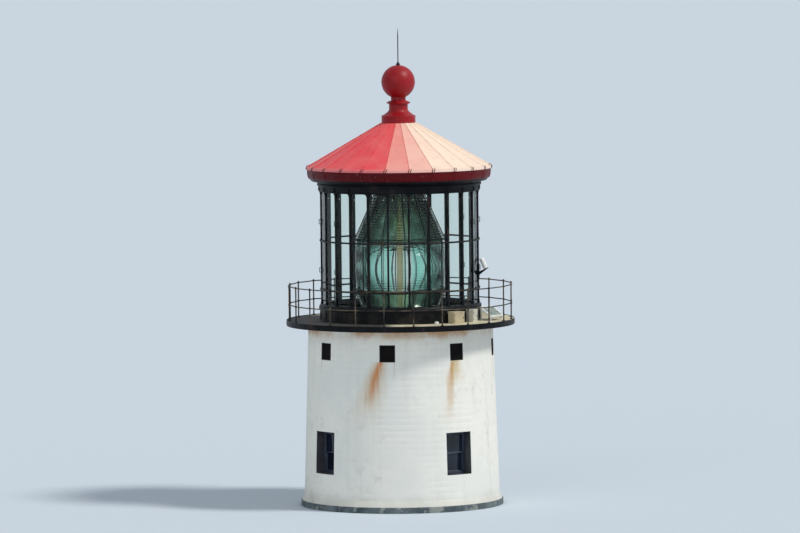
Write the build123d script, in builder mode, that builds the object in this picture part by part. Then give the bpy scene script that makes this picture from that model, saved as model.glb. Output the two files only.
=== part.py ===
from build123d import *
import os
from math import acos, cos, radians, sin, sqrt, tan

# A short round masonry lighthouse with an iron gallery, a 24-sided glazed lantern, a beehive lens
# and a red ventilated roof. Millimetres. The origin is on the ground at the tower's axis, +Z is up,
# and one of the eight ventilators faces the front, -Y. An azimuth is an angle seen from above,
# from 0 at the front towards +X at 90.

# Fits
fit_gap = 0.3                   # between curved or mitred pieces that seat on each other
door_gap = 3                    # round the door leaf

# Tower wall: eight upright slices, the piers between eight ventilators and a ring over them
wall_names = {
    0: "wall_front",
    45: "wall_front_right",
    90: "wall_right",
    135: "wall_back_right",
    180: "wall_back",
    225: "wall_back_left",
    270: "wall_left",
    315: "wall_front_left",
}
slice_angle = 45
tower_sides = 48                # narrow flats that make up the round wall, deck and base course
base_height = 190
base_ledge = 27                 # beyond the splayed foot of the wall
wall_foot_radius = 3130         # where the wall's plain batter would meet the base course
wall_batter = 180               # how far the wall leans in by its top
wall_thickness = 400            # at the top; the room inside is plumb
wall_top = 5770
splay_out = 78                  # the foot's spread beyond the batter
splay_height = 250
floor_thickness = 170
vent_width = 500
vent_height = 540
vent_drop = 1000                # from the wall's top to the ventilators' sills

# Sash windows and the door
window_azimuths = (45, 135, 315)
window_width = 950
window_height = 1340
window_sill = 1150
window_reveal = 340             # from the wall's face to the frame
frame_bar = 60
frame_depth = 90
sash_bar = 45
sash_depth = 40
pane_thickness = 6
door_azimuth = 225
door_width = 950
door_height = 2060
door_reveal = 170
door_stop = 18
leaf_thickness = 50
panel_recess = 12
panel_margin = 130

# Gallery
deck_overhang = 678             # beyond the wall's top
deck_thickness = 160
edge_thickness = 12
edge_drop = 12                  # the rim plate's overlap below and above the deck
post_inset = 58                 # from the deck's corners to the line of railing posts
post_radius = 24
post_height = 1150
pipe_sides = 6
rail_radius = 20
rail_drops = (640, 50)          # below the tops of the posts

# Lantern, a 24-sided prism with a mullion at each corner. What stands round its glass is set by
# how far it lies outside or inside the mullions' faces.
bay_count = 24
mullion_face = 2544
floor_plate_inset = 74
floor_plate_thickness = 20
deck_lap = 70                   # of the floor plate over the deck
parapet_offset = 36
parapet_thickness = 40
parapet_height = 350
parapet_panel_width = 500
parapet_panel_height = 230
parapet_panel_recess = 14
sill_offset = 56
sill_nose = 50
sill_height = 180
ring_bore_inset = 144           # of the sill and the head
glazing_height = 3580
mullion_depth = 150
mullion_web = 24
mullion_flange = 64
mullion_flange_thickness = 16
pane_inset = 44                 # of the glass, square to a bay
glass_thickness = 12
glass_gap = 24                  # between two rows of panes, behind a glazing ring
ring_levels = (470, 2020)       # glazing rings, above the sill
ring_width = 56
ring_thickness = 16

# Lantern head, cornice and roof; both profiles are distances beyond the mullions and heights
head_outline = ((46, 0), (46, 60), (88, 110), (88, 250), (100, 290))
cornice_outline = ((100, 0), (126, 18), (302, 100), (392, 300), (414, 476))
cornice_thickness = 34
fascia_thickness = 27
fascia_height = 104
fascia_drop = 60                # below the roof sheets' lower edge
roof_rise = 1400
roof_thickness = 14
roof_crown_radius = 540
seam_width = 36
seam_height = 24
seam_margin = 40                # from the crown and from the fascia

# Ventilator and rod
collar_height = 220
collar_step = 60
neck_radius = 300
neck_flare = 95
throat_height = 210             # from the collar's shoulder to the neck
neck_height = 170
bead_radius = 380
bead_slope = 35
bead_height = 110
ball_seat_radius = 235
ball_radius = 536
ball_lift = 54                  # of the ball's lowest point, were it whole, above the bead
ball_sides = 30
ball_bands = 11
rod_radius = 22
rod_height = 1170
rod_knob_radius = 62
rod_knob_height = 130
rod_point = 120

# Lens: glass rings in a metal frame, round a lamp stand, with radii over the corners
lens_wall = 120
lens_foot_height = 370          # above the lantern floor plate
lens_foot_radius = 1200
lens_belt_radius = 1410
lens_belt_bottom = 950
lens_belt_top = 2500
lens_crown_bottom = 4000
lens_crown_radius = 750
lower_count = 5
belt_count = 4                  # prisms on each side of the centre belt
upper_count = 10
centre_belt = 260
prism_depth = 30
prism_step = 6                  # rise of the narrow face between two prisms
band_height = 24                # of the metal bands between the three stages
crown_height = 200
crown_cap_height = 120
crown_cap_radius = 520
crown_sheet = 12
rib_count = 12
rib_width = 26
rib_depth = 34
pedestal_radius = 620
pedestal_lip = 6                # of its flange beyond the lens frame's ribs
pedestal_flange_height = 60
lamp_foot_radius = 190
lamp_foot_height = 40
lamp_radius = 105
lamp_height = 2700
lamp_head_radius = 62
lamp_head_height = 240

# Equipment on the gallery
panel_place = (405, -368)       # the first beyond the parapet
panel_azimuth = 68.4
panel_width = 820
panel_length = 520
panel_tilt = 36
panel_thickness = 36
panel_height = 250              # its underside's middle above the deck
panel_border = 32
panel_glass_depth = 6
leg_size = 36
leg_inset = 60
cabinet_azimuth = 48
cabinet_size = (430, 300, 370)
battery_azimuth = 64
battery_size = (250, 260, 400)
lid_height = 36
lid_overhang = 14
box_gap = 40                    # from the parapet to the boxes
lamp_azimuth = 90
lamp_level = 1780               # marker lamp's middle, above the deck
marker_reach = 150              # from the mullion's face to the lamp's middle
marker_radius = 80
marker_length = 360
marker_tilt = 24
marker_chamfer = 22
bracket_width = 60
bracket_height = 500
bracket_plate = 14

# Sizes, heights and angles that follow
bay_angle = 360 / bay_count
half_bay = radians(bay_angle / 2)
wall_top_radius = wall_foot_radius - wall_batter
tower_bore = wall_top_radius - wall_thickness
base_radius = wall_foot_radius + splay_out + base_ledge
deck_radius = wall_top_radius + deck_overhang
post_circle = deck_radius - post_inset
floor_plate_radius = mullion_face - floor_plate_inset
deck_bore = floor_plate_radius - deck_lap
parapet_radius = mullion_face + parapet_offset
sill_radius = mullion_face + sill_offset
ring_bore = mullion_face - ring_bore_inset
pane_face = mullion_face - pane_inset
head_profile = [(mullion_face + reach, height) for reach, height in head_outline]
cornice_profile = [(mullion_face + reach, height) for reach, height in cornice_outline]
deck_top = wall_top + deck_thickness
sill_bottom = deck_top + parapet_height
sill_top = sill_bottom + sill_height
head_bottom = sill_top + glazing_height
cornice_bottom = head_bottom + head_profile[-1][1]
roof_bottom = cornice_bottom + cornice_profile[-1][1]
roof_radius = cornice_profile[-1][0]
roof_crown = roof_bottom + roof_rise
roof_run = roof_radius - roof_crown_radius
lens_floor = deck_top + floor_plate_thickness
window_middle = window_sill + window_height / 2
vent_sill = wall_top - vent_drop
door_middle = base_height + door_height / 2
vent_head = vent_sill + vent_height


def upright_plane(azimuth):
    """The upright plane through the tower's axis at an azimuth: x runs outwards and y up."""
    turn = radians(azimuth)
    return Plane((0, 0, 0), x_dir=(sin(turn), -cos(turn), 0), z_dir=(-cos(turn), -sin(turn), 0))


def facing_plane(azimuth):
    """The upright plane through the axis that faces an azimuth: y is up and z runs outwards."""
    turn = radians(azimuth)
    return Plane((0, 0, 0), x_dir=(cos(turn), sin(turn), 0), z_dir=(sin(turn), -cos(turn), 0))


def wall_radius(height):
    """Radius of the wall's battered face at a height."""
    share = (height - base_height) / (wall_top - base_height)
    return wall_foot_radius + (wall_top_radius - wall_foot_radius) * share


def faceted(profile, sides=bay_count, flats=0, first=0):
    """A many-sided ring through a profile of (radius over the corners, height).

    One flat bay is extruded from the profile, cut to its wedge and repeated from an azimuth on,
    all the way round unless a number of flats is given.
    """
    step = 360 / sides
    inset = cos(radians(step / 2))
    reach = max(radius for radius, height in profile) * tan(radians(step / 2))
    with BuildPart() as bay:
        with BuildSketch(upright_plane(step / 2)):
            with BuildLine():
                Polyline(*[(radius * inset, height) for radius, height in profile], close=True)
            make_face()
        extrude(amount=reach, both=True)
        split(bisect_by=upright_plane(0), keep=Keep.BOTTOM)
        split(bisect_by=upright_plane(step), keep=Keep.TOP)
    with BuildPart() as ring:
        with PolarLocations(0, flats or sides, first, (flats or sides) * step):
            add(bay.part)
    return ring.part


def shell(profile, thickness, base):
    """The outline of a sheet that follows a profile of (radius, height)."""
    outside = [(radius, base + height) for radius, height in profile]
    return outside + [(radius - thickness, height) for radius, height in reversed(outside)]


def plugged(profile, bore, base):
    """The outline of a ring between a profile of (radius, height) and a plumb bore."""
    outside = [(radius, base + height) for radius, height in profile]
    return outside + [(bore, outside[-1][1]), (bore, outside[0][1])]


def ring_profile(low, high):
    """The outline of the wall between two heights above the splay."""
    return ((tower_bore, low), (wall_radius(low), low), (wall_radius(high), high), (tower_bore, high))


def finish(name, part):
    """Label a finished piece and write it."""
    part.label = name
    export_step(part, f"parts/{name}.step")


os.makedirs("parts", exist_ok=True)

# Base course and ground floor
with BuildPart() as base_course:
    with BuildSketch():
        RegularPolygon(base_radius, tower_sides, rotation=slice_angle / 2)
        RegularPolygon(tower_bore, tower_sides, rotation=slice_angle / 2, mode=Mode.SUBTRACT)
    extrude(amount=base_height)
finish("base_course", base_course.part)

with BuildPart() as ground_floor:
    with BuildSketch():
        RegularPolygon(tower_bore - fit_gap, tower_sides, rotation=slice_angle / 2)
    extrude(amount=floor_thickness)
finish("ground_floor", ground_floor.part)

# Tower wall. The slices carry the windows and the door, and end level with the ventilators' sills.
slice_profile = (
    (tower_bore, base_height),
    (wall_foot_radius + splay_out, base_height),
    (wall_radius(base_height + splay_height), base_height + splay_height),
    (wall_radius(vent_sill), vent_sill),
    (tower_bore, vent_sill),
)
slice_flats = tower_sides // len(wall_names)
for azimuth, name in wall_names.items():
    with BuildPart() as wall:
        add(faceted(slice_profile, tower_sides, slice_flats, azimuth - slice_angle / 2))
        if azimuth in window_azimuths:
            with BuildSketch(facing_plane(azimuth)):
                with Locations((0, window_middle)):
                    Rectangle(window_width, window_height)
            extrude(amount=base_radius, mode=Mode.SUBTRACT)
        if azimuth == door_azimuth:
            with BuildSketch(facing_plane(azimuth)):
                with Locations((0, door_middle)):
                    Rectangle(door_width, door_height)
            extrude(amount=base_radius, mode=Mode.SUBTRACT)
    finish(name, wall.part)

with BuildPart() as vent_piers:
    add(faceted(ring_profile(vent_sill, vent_head), tower_sides))
    for azimuth in wall_names:
        with BuildSketch(facing_plane(azimuth)):
            with Locations((0, (vent_sill + vent_head) / 2)):
                Rectangle(vent_width, vent_height)
        extrude(amount=base_radius, mode=Mode.SUBTRACT)
finish("vent_piers", vent_piers.part)

finish("wall_head", faceted(ring_profile(vent_head, wall_top), tower_sides))

# Sash windows: the upper sash outside the lower one
window_plane = wall_radius(window_middle) - window_reveal
sash_width = window_width - 2 * frame_bar
opening_height = window_height - 2 * frame_bar
sash_height = (opening_height + sash_bar) / 2
sash_spots = (
    (opening_height / 2 - sash_height / 2, window_plane - (frame_depth - 2 * sash_depth) / 2),
    (sash_height / 2 - opening_height / 2, window_plane - frame_depth / 2),
)
with BuildPart() as window_frames:
    for azimuth in window_azimuths:
        with BuildSketch(facing_plane(azimuth).offset(window_plane)):
            with Locations((0, window_middle)):
                Rectangle(window_width, window_height)
                Rectangle(sash_width, opening_height, mode=Mode.SUBTRACT)
        extrude(amount=-frame_depth)
        for rise, face in sash_spots:
            with BuildSketch(facing_plane(azimuth).offset(face)):
                with Locations((0, window_middle + rise)):
                    Rectangle(sash_width, sash_height)
                    Rectangle(
                        sash_width - 2 * sash_bar, sash_height - 2 * sash_bar, mode=Mode.SUBTRACT
                    )
            extrude(amount=-sash_depth)
finish("window_frames", window_frames.part)

with BuildPart() as window_panes:
    for azimuth in window_azimuths:
        for rise, face in sash_spots:
            pane_plane = face - (sash_depth - pane_thickness) / 2
            with BuildSketch(facing_plane(azimuth).offset(pane_plane)):
                with Locations((0, window_middle + rise)):
                    Rectangle(sash_width - 2 * sash_bar, sash_height - 2 * sash_bar)
            extrude(amount=-pane_thickness)
finish("window_panes", window_panes.part)

# Door: a rebated frame and a panelled leaf that shuts against its stop
door_plane = wall_radius(door_middle) - door_reveal
leaf_width = door_width - 2 * frame_bar - 2 * door_gap
leaf_height = door_height - frame_bar - 2 * door_gap
leaf_middle = base_height + door_gap + leaf_height / 2
with BuildPart() as door_frame:
    for depth, start, rebate in (
        (leaf_thickness, 0, 0),
        (frame_depth - leaf_thickness, leaf_thickness, door_stop),
    ):
        bar = frame_bar + rebate
        with BuildSketch(facing_plane(door_azimuth).offset(door_plane - start)):
            with Locations((0, door_middle)):
                Rectangle(door_width, door_height)
            with Locations((0, door_middle - bar / 2)):
                Rectangle(door_width - 2 * bar, door_height - bar, mode=Mode.SUBTRACT)
        extrude(amount=-depth)
finish("door_frame", door_frame.part)

with BuildPart() as door_leaf:
    with BuildSketch(facing_plane(door_azimuth).offset(door_plane)):
        with Locations((0, leaf_middle)):
            Rectangle(leaf_width, leaf_height)
    extrude(amount=-leaf_thickness)
    panel_width_door = leaf_width - 2 * panel_margin
    panel_height_door = (leaf_height - 3 * panel_margin) / 2
    with BuildSketch(facing_plane(door_azimuth).offset(door_plane)):
        with Locations((0, leaf_middle)):
            with GridLocations(0, panel_height_door + panel_margin, 1, 2):
                Rectangle(panel_width_door, panel_height_door)
    extrude(amount=-panel_recess, mode=Mode.SUBTRACT)
finish("door_leaf", door_leaf.part)

# Gallery deck, its rim plate and its pipe railing
with BuildPart() as gallery_deck:
    with BuildSketch(Plane.XY.offset(wall_top)):
        RegularPolygon(deck_radius, tower_sides, rotation=slice_angle / 2)
        RegularPolygon(deck_bore, tower_sides, rotation=slice_angle / 2, mode=Mode.SUBTRACT)
    extrude(amount=deck_thickness)
finish("gallery_deck", gallery_deck.part)

edge_bore = deck_radius + fit_gap
with BuildPart() as gallery_edge:
    with BuildSketch(Plane.XY.offset(wall_top - edge_drop)):
        RegularPolygon(edge_bore + edge_thickness, tower_sides, rotation=slice_angle / 2)
        RegularPolygon(edge_bore, tower_sides, rotation=slice_angle / 2, mode=Mode.SUBTRACT)
    extrude(amount=deck_thickness + 2 * edge_drop)
finish("gallery_edge", gallery_edge.part)

with BuildPart() as rail_posts:
    with BuildSketch(Plane.XY.offset(deck_top)):
        with PolarLocations(post_circle, bay_count):
            RegularPolygon(post_radius, pipe_sides)
    extrude(amount=post_height)
finish("rail_posts", rail_posts.part)

post_reach = post_radius * cos(radians(180 / pipe_sides) - half_bay)
rail_half_length = post_circle * sin(half_bay) - post_reach - fit_gap
with BuildPart() as gallery_rails:
    for bay in range(bay_count):
        with BuildSketch(upright_plane((bay + 0.5) * bay_angle)):
            for drop in rail_drops:
                with Locations((post_circle * cos(half_bay), deck_top + post_height - drop)):
                    RegularPolygon(rail_radius, pipe_sides)
        extrude(amount=rail_half_length, both=True)
finish("gallery_rails", gallery_rails.part)

# Lantern floor and parapet, with a sunk panel in each bay
with BuildPart() as lantern_floor:
    with BuildSketch(Plane.XY.offset(deck_top)):
        RegularPolygon(floor_plate_radius, bay_count)
    extrude(amount=floor_plate_thickness)
finish("lantern_floor", lantern_floor.part)

with BuildPart() as lantern_parapet:
    with BuildSketch(Plane.XY.offset(deck_top)):
        RegularPolygon(parapet_radius, bay_count)
        RegularPolygon(parapet_radius - parapet_thickness, bay_count, mode=Mode.SUBTRACT)
    extrude(amount=parapet_height)
    panel_face = parapet_radius * cos(half_bay)
    for bay in range(bay_count):
        with BuildSketch(facing_plane((bay + 0.5) * bay_angle).offset(panel_face)):
            with Locations((0, deck_top + parapet_height / 2)):
                Rectangle(parapet_panel_width, parapet_panel_height)
        extrude(amount=-parapet_panel_recess, mode=Mode.SUBTRACT)
finish("lantern_parapet", lantern_parapet.part)

sill_profile = (
    (sill_radius, 0),
    (sill_radius, sill_height - sill_nose),
    (sill_radius - sill_nose, sill_height),
)
finish("lantern_sill", faceted(plugged(sill_profile, ring_bore, sill_bottom)))

# Mullions: a deep web with a flange outside the glass
with BuildPart() as mullions:
    web_depth = mullion_depth - mullion_flange_thickness
    with BuildSketch(Plane.XY.offset(sill_top)):
        with PolarLocations(mullion_face - mullion_depth + web_depth / 2, bay_count):
            Rectangle(web_depth, mullion_web)
        with PolarLocations(mullion_face - mullion_flange_thickness / 2, bay_count):
            Rectangle(mullion_flange_thickness, mullion_flange)
    extrude(amount=glazing_height)
finish("mullions", mullions.part)

# Glazing rings bear on the mullions' flanges, outside three rows of panes
ring_seat = mullion_face + mullion_flange / 2 * tan(half_bay) + fit_gap
with BuildPart() as glazing_rings:
    for level in ring_levels:
        with BuildSketch(Plane.XY.offset(sill_top + level - ring_width / 2)):
            RegularPolygon(ring_seat + ring_thickness, bay_count)
            RegularPolygon(ring_seat, bay_count, mode=Mode.SUBTRACT)
        extrude(amount=ring_width)
finish("glazing_rings", glazing_rings.part)

pane_back = pane_face - glass_thickness
pane_half_width = pane_back * tan(half_bay) - mullion_web / 2 / cos(half_bay) - fit_gap
row_ends = (-glass_gap / 2, *ring_levels, glazing_height + glass_gap / 2)
with BuildPart() as lantern_glass:
    for low, high in zip(row_ends, row_ends[1:]):
        with BuildSketch(Plane.XY.offset(sill_top + low + glass_gap / 2)):
            with PolarLocations(pane_face - glass_thickness / 2, bay_count, bay_angle / 2):
                Rectangle(glass_thickness, 2 * pane_half_width)
        extrude(amount=high - low - glass_gap)
finish("lantern_glass", lantern_glass.part)

# Lantern head, cornice and the flat sheets of the roof
finish("lantern_head", faceted(plugged(head_profile, ring_bore, head_bottom)))
finish("roof_cornice", faceted(shell(cornice_profile, cornice_thickness, cornice_bottom)))

roof_slope = roof_rise / roof_run
roof_outline = (
    (roof_radius, roof_bottom),
    (roof_crown_radius, roof_crown),
    (roof_crown_radius, roof_crown - roof_thickness),
    (roof_radius - roof_thickness / roof_slope, roof_bottom),
)
finish("roof_sheets", faceted(roof_outline))

# A rib on each seam and a fascia round the eave
seam_rise = seam_height * sqrt(1 + roof_slope**2)
seam_lift = fit_gap * sqrt(1 + roof_slope**2)


def roof_line(radius):
    """Height of the roof's hip at a radius."""
    return roof_bottom + (roof_radius - radius) * roof_slope


seam_ends = (roof_crown_radius + seam_margin, roof_radius - seam_margin)
with BuildPart() as roof_seams:
    for seam in range(bay_count):
        with BuildSketch(upright_plane(seam * bay_angle)):
            with BuildLine():
                Polyline(
                    (seam_ends[0], roof_line(seam_ends[0]) + seam_lift),
                    (seam_ends[1], roof_line(seam_ends[1]) + seam_lift),
                    (seam_ends[1], roof_line(seam_ends[1]) + seam_lift + seam_rise),
                    (seam_ends[0], roof_line(seam_ends[0]) + seam_lift + seam_rise),
                    close=True,
                )
            make_face()
        extrude(amount=seam_width / 2, both=True)
finish("roof_seams", roof_seams.part)

with BuildPart() as eave_fascia:
    with BuildSketch(Plane.XY.offset(roof_bottom - fascia_drop)):
        RegularPolygon(roof_radius + fascia_thickness, bay_count)
        RegularPolygon(roof_radius, bay_count, mode=Mode.SUBTRACT)
    extrude(amount=fascia_height)
finish("eave_fascia", eave_fascia.part)

# Ventilator, with a spun base and ball, and the rod
neck_bottom = roof_crown + collar_height + throat_height
neck_top = neck_bottom + neck_height
bead_top = neck_top + bead_height
ball_centre = bead_top + ball_lift + ball_radius
ball_bottom = ball_centre - sqrt(ball_radius**2 - ball_seat_radius**2)
ball_top = ball_centre + sqrt(ball_radius**2 - rod_knob_radius**2)
base_outline = (
    (0, roof_crown),
    (roof_crown_radius, roof_crown),
    (roof_crown_radius, roof_crown + collar_height),
    (roof_crown_radius - collar_step, roof_crown + collar_height + collar_step / 2),
    (neck_radius + neck_flare, roof_crown + collar_height + neck_flare),
    (neck_radius, neck_bottom),
    (neck_radius, neck_top),
    (bead_radius, neck_top + bead_slope),
    (bead_radius, bead_top - bead_slope),
    (ball_seat_radius, bead_top),
    (ball_seat_radius, ball_bottom),
    (0, ball_bottom),
)
finish("ventilator_base", faceted(base_outline))

low_angle = -acos(ball_seat_radius / ball_radius)
high_angle = acos(rod_knob_radius / ball_radius)
ball_angles = [low_angle + (high_angle - low_angle) * band / ball_bands for band in range(ball_bands + 1)]
ball_outline = [(ball_radius * cos(angle), ball_centre + ball_radius * sin(angle)) for angle in ball_angles]
finish("ventilator_ball", faceted([(0, ball_bottom), *ball_outline, (0, ball_top)], ball_sides))

rod_outline = (
    (0, ball_top),
    (rod_knob_radius, ball_top),
    (rod_knob_radius, ball_top + rod_knob_height * 0.6),
    (rod_radius, ball_top + rod_knob_height),
    (rod_radius, ball_top + rod_height - rod_point),
    (0, ball_top + rod_height),
)
finish("lightning_rod", faceted(rod_outline, pipe_sides))


# Lens: three stages of glass rings, stepped outside and plain inside, alike above and below the
# focal plane, where a wider round belt runs
def prisms(start, end, count):
    """Stations of stepped prisms from (radius, height) to (radius, height), away from the focus."""
    run, climb = end[0] - start[0], end[1] - start[1]
    step_share = prism_step / abs(climb)
    stations = []
    for step in range(count):
        proud = step / count + (step_share if step else 0)
        back = (step + 1) / count
        stations.append((start[0] + run * proud + prism_depth, start[1] + climb * proud))
        stations.append((start[0] + run * back, start[1] + climb * back))
    return sorted(stations, key=lambda station: station[1])


lens_bottom = lens_floor + lens_foot_height
belt_bottom = lens_floor + lens_belt_bottom
belt_top = lens_floor + lens_belt_top
focus = (belt_bottom + belt_top) / 2
crown_bottom = lens_floor + lens_crown_bottom
belt_centre = [
    (lens_belt_radius + prism_depth * swell, focus + centre_belt * share)
    for share, swell in ((-0.5, 0.3), (-0.3, 0.8), (0, 1), (0.3, 0.8), (0.5, 0.3))
]
lens_stages = {
    "lens_lower_prisms": prisms(
        (lens_belt_radius, belt_bottom - band_height), (lens_foot_radius, lens_bottom), lower_count
    ),
    "lens_belt": [
        *prisms((lens_belt_radius, focus - centre_belt / 2 - prism_step),
                (lens_belt_radius, belt_bottom), belt_count),
        *belt_centre,
        *prisms((lens_belt_radius, focus + centre_belt / 2 + prism_step),
                (lens_belt_radius, belt_top), belt_count),
    ],
    "lens_upper_prisms": prisms(
        (lens_belt_radius, belt_top + band_height), (lens_crown_radius, crown_bottom), upper_count
    ),
}
for name, stations in lens_stages.items():
    inside = [(radius - lens_wall, height) for radius, height in (stations[-1], stations[0])]
    finish(name, faceted([*stations, *inside]))

# Lens frame: a band between two stages and a rib on every second corner
rib_line = [
    (lens_foot_radius + prism_depth + fit_gap, lens_bottom),
    (lens_belt_radius + prism_depth + fit_gap, belt_bottom - band_height),
    (lens_belt_radius + prism_depth + fit_gap, belt_top + band_height),
    (lens_crown_radius + prism_depth + fit_gap, crown_bottom),
]
with BuildPart() as lens_frame:
    for level in (belt_bottom - band_height, belt_top):
        with BuildSketch(Plane.XY.offset(level)):
            RegularPolygon(lens_belt_radius + prism_depth + rib_depth, bay_count)
            RegularPolygon(lens_belt_radius - lens_wall, bay_count, mode=Mode.SUBTRACT)
        extrude(amount=band_height)
    for rib in range(rib_count):
        with BuildSketch(upright_plane(bay_angle + rib * 360 / rib_count)):
            with BuildLine():
                Polyline(
                    *rib_line,
                    *[(radius + rib_depth, height) for radius, height in reversed(rib_line)],
                    close=True,
                )
            make_face()
        extrude(amount=rib_width / 2, both=True)
finish("lens_frame", lens_frame.part)

crown_radius = lens_crown_radius + prism_depth + rib_depth
crown_outline = (
    (crown_radius, crown_bottom),
    (crown_radius, crown_bottom + crown_height),
    (crown_cap_radius, crown_bottom + crown_height + crown_cap_height),
    (0, crown_bottom + crown_height + crown_cap_height),
    (0, crown_bottom + crown_height + crown_cap_height - crown_sheet),
    (crown_cap_radius - crown_sheet, crown_bottom + crown_height + crown_cap_height - crown_sheet),
    (crown_radius - crown_sheet, crown_bottom + crown_height - crown_sheet),
    (crown_radius - crown_sheet, crown_bottom),
)
finish("lens_crown", faceted(crown_outline))

with BuildPart() as lens_pedestal:
    with BuildSketch(Plane.XY.offset(lens_floor)):
        RegularPolygon(pedestal_radius, rib_count)
    extrude(amount=lens_foot_height - pedestal_flange_height)
    with BuildSketch(Plane.XY.offset(lens_bottom - pedestal_flange_height)):
        RegularPolygon(lens_foot_radius + prism_depth + rib_depth + pedestal_lip, bay_count)
    extrude(amount=pedestal_flange_height)
finish("lens_pedestal", lens_pedestal.part)

stand_top = lens_bottom + lamp_height
stand_outline = (
    (0, lens_bottom),
    (lamp_foot_radius, lens_bottom),
    (lamp_foot_radius, lens_bottom + lamp_foot_height),
    (lamp_radius, lens_bottom + lamp_foot_height),
    (lamp_radius, stand_top - lamp_head_height),
    (lamp_head_radius, stand_top - lamp_head_height),
    (lamp_head_radius, stand_top),
    (0, stand_top),
)
finish("lamp_stand", faceted(stand_outline, rib_count))

# Solar panel on its stand, facing outwards over the gallery
panel_facing = facing_plane(panel_azimuth)
panel_middle = (parapet_radius + panel_place[0], panel_place[1], deck_top + panel_height)
tilt = radians(panel_tilt)
panel_plane = Plane(
    panel_middle,
    x_dir=panel_facing.x_dir,
    z_dir=(panel_facing.z_dir * sin(tilt) + Vector(0, 0, cos(tilt))),
)
with BuildPart() as solar_panel:
    with BuildSketch(panel_plane):
        Rectangle(panel_width, panel_length)
    extrude(amount=panel_thickness)
    with BuildSketch(panel_plane.offset(panel_thickness)):
        Rectangle(panel_width - 2 * panel_border, panel_length - 2 * panel_border)
    extrude(amount=-panel_glass_depth, mode=Mode.SUBTRACT)
finish("solar_panel", solar_panel.part)

panel_run = panel_length * cos(tilt)
bar_height = leg_size / cos(tilt)
with BuildPart() as panel_stand:
    for side in (-1, 1):
        stand_origin = Vector(*panel_middle) + panel_facing.x_dir * side * (panel_width / 2 - leg_inset)
        stand_plane = Plane(
            stand_origin,
            x_dir=panel_facing.z_dir,
            z_dir=(-panel_facing.x_dir),
        )
        with BuildSketch(stand_plane):
            with BuildLine():
                Polyline(
                    (-panel_run / 2, panel_run / 2 * tan(tilt)),
                    (panel_run / 2, -panel_run / 2 * tan(tilt)),
                    (panel_run / 2, -panel_run / 2 * tan(tilt) - bar_height),
                    (-panel_run / 2, panel_run / 2 * tan(tilt) - bar_height),
                    close=True,
                )
            make_face()
            for reach in (-panel_run / 2 + leg_size, panel_run / 2 - leg_size):
                leg_top = -reach * tan(tilt) - bar_height / 2
                with Locations((reach, (leg_top - panel_height) / 2)):
                    Rectangle(leg_size, leg_top + panel_height)
        extrude(amount=leg_size / 2, both=True)
finish("panel_stand", panel_stand.part)


# Two closed boxes stand on the deck against the parapet
def deck_box(azimuth, size):
    """A box with an overhanging lid, its back to the parapet, facing an azimuth."""
    width, depth, height = size
    middle = facing_plane(azimuth).z_dir * (parapet_radius + box_gap + depth / 2)
    plan = Plane(
        (middle.X, middle.Y, deck_top), x_dir=facing_plane(azimuth).x_dir, z_dir=(0, 0, 1)
    )
    with BuildPart() as box:
        with BuildSketch(plan):
            Rectangle(width, depth)
        extrude(amount=height - lid_height)
        with BuildSketch(plan.offset(height - lid_height)):
            Rectangle(width + 2 * lid_overhang, depth + 2 * lid_overhang)
        extrude(amount=lid_height)
    return box.part


finish("equipment_box", deck_box(cabinet_azimuth, cabinet_size))
finish("battery_box", deck_box(battery_azimuth, battery_size))

# Marker lamp, tilted outwards on a bracket bolted to a mullion
marker_lean = radians(marker_tilt)
marker_foot = (
    mullion_face + marker_reach + marker_length / 2 * sin(marker_lean),
    deck_top + lamp_level - marker_length / 2 * cos(marker_lean),
)
marker_side = upright_plane(lamp_azimuth)
marker_plane = Plane(
    marker_side.from_local_coords(Vector(*marker_foot, 0)),
    x_dir=marker_side.z_dir,
    z_dir=Vector(0, 0, cos(marker_lean)) - marker_side.x_dir * sin(marker_lean),
)
with BuildPart() as marker_lamp:
    with BuildSketch(marker_plane):
        RegularPolygon(marker_radius, rib_count)
    extrude(amount=marker_length)
    lamp_ends = marker_lamp.faces().sort_by(SortBy.AREA)[-2:]
    chamfer(lamp_ends.edges(), marker_chamfer)
finish("marker_lamp", marker_lamp.part)

with BuildPart() as lamp_bracket:
    with BuildSketch(upright_plane(lamp_azimuth)):
        plate_back = mullion_face + fit_gap
        arm_end = marker_foot[0] + marker_radius
        arm_top = [
            (reach, marker_foot[1] + (reach - marker_foot[0]) * tan(marker_lean) - fit_gap)
            for reach in (plate_back, arm_end)
        ]
        with BuildLine():
            Polyline(*arm_top, *[(reach, height - bracket_plate * 2) for reach, height in reversed(arm_top)],
                     close=True)
        make_face()
        with Locations((plate_back + bracket_plate / 2, arm_top[0][1])):
            Rectangle(bracket_plate, bracket_height)
    extrude(amount=bracket_width / 2, both=True)
finish("lamp_bracket", lamp_bracket.part)
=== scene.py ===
from math import acos, atan2, ceil, cos, pi, radians, sin, sqrt, tan

import bmesh
import bpy
from mathutils import Matrix, Vector, noise


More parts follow.
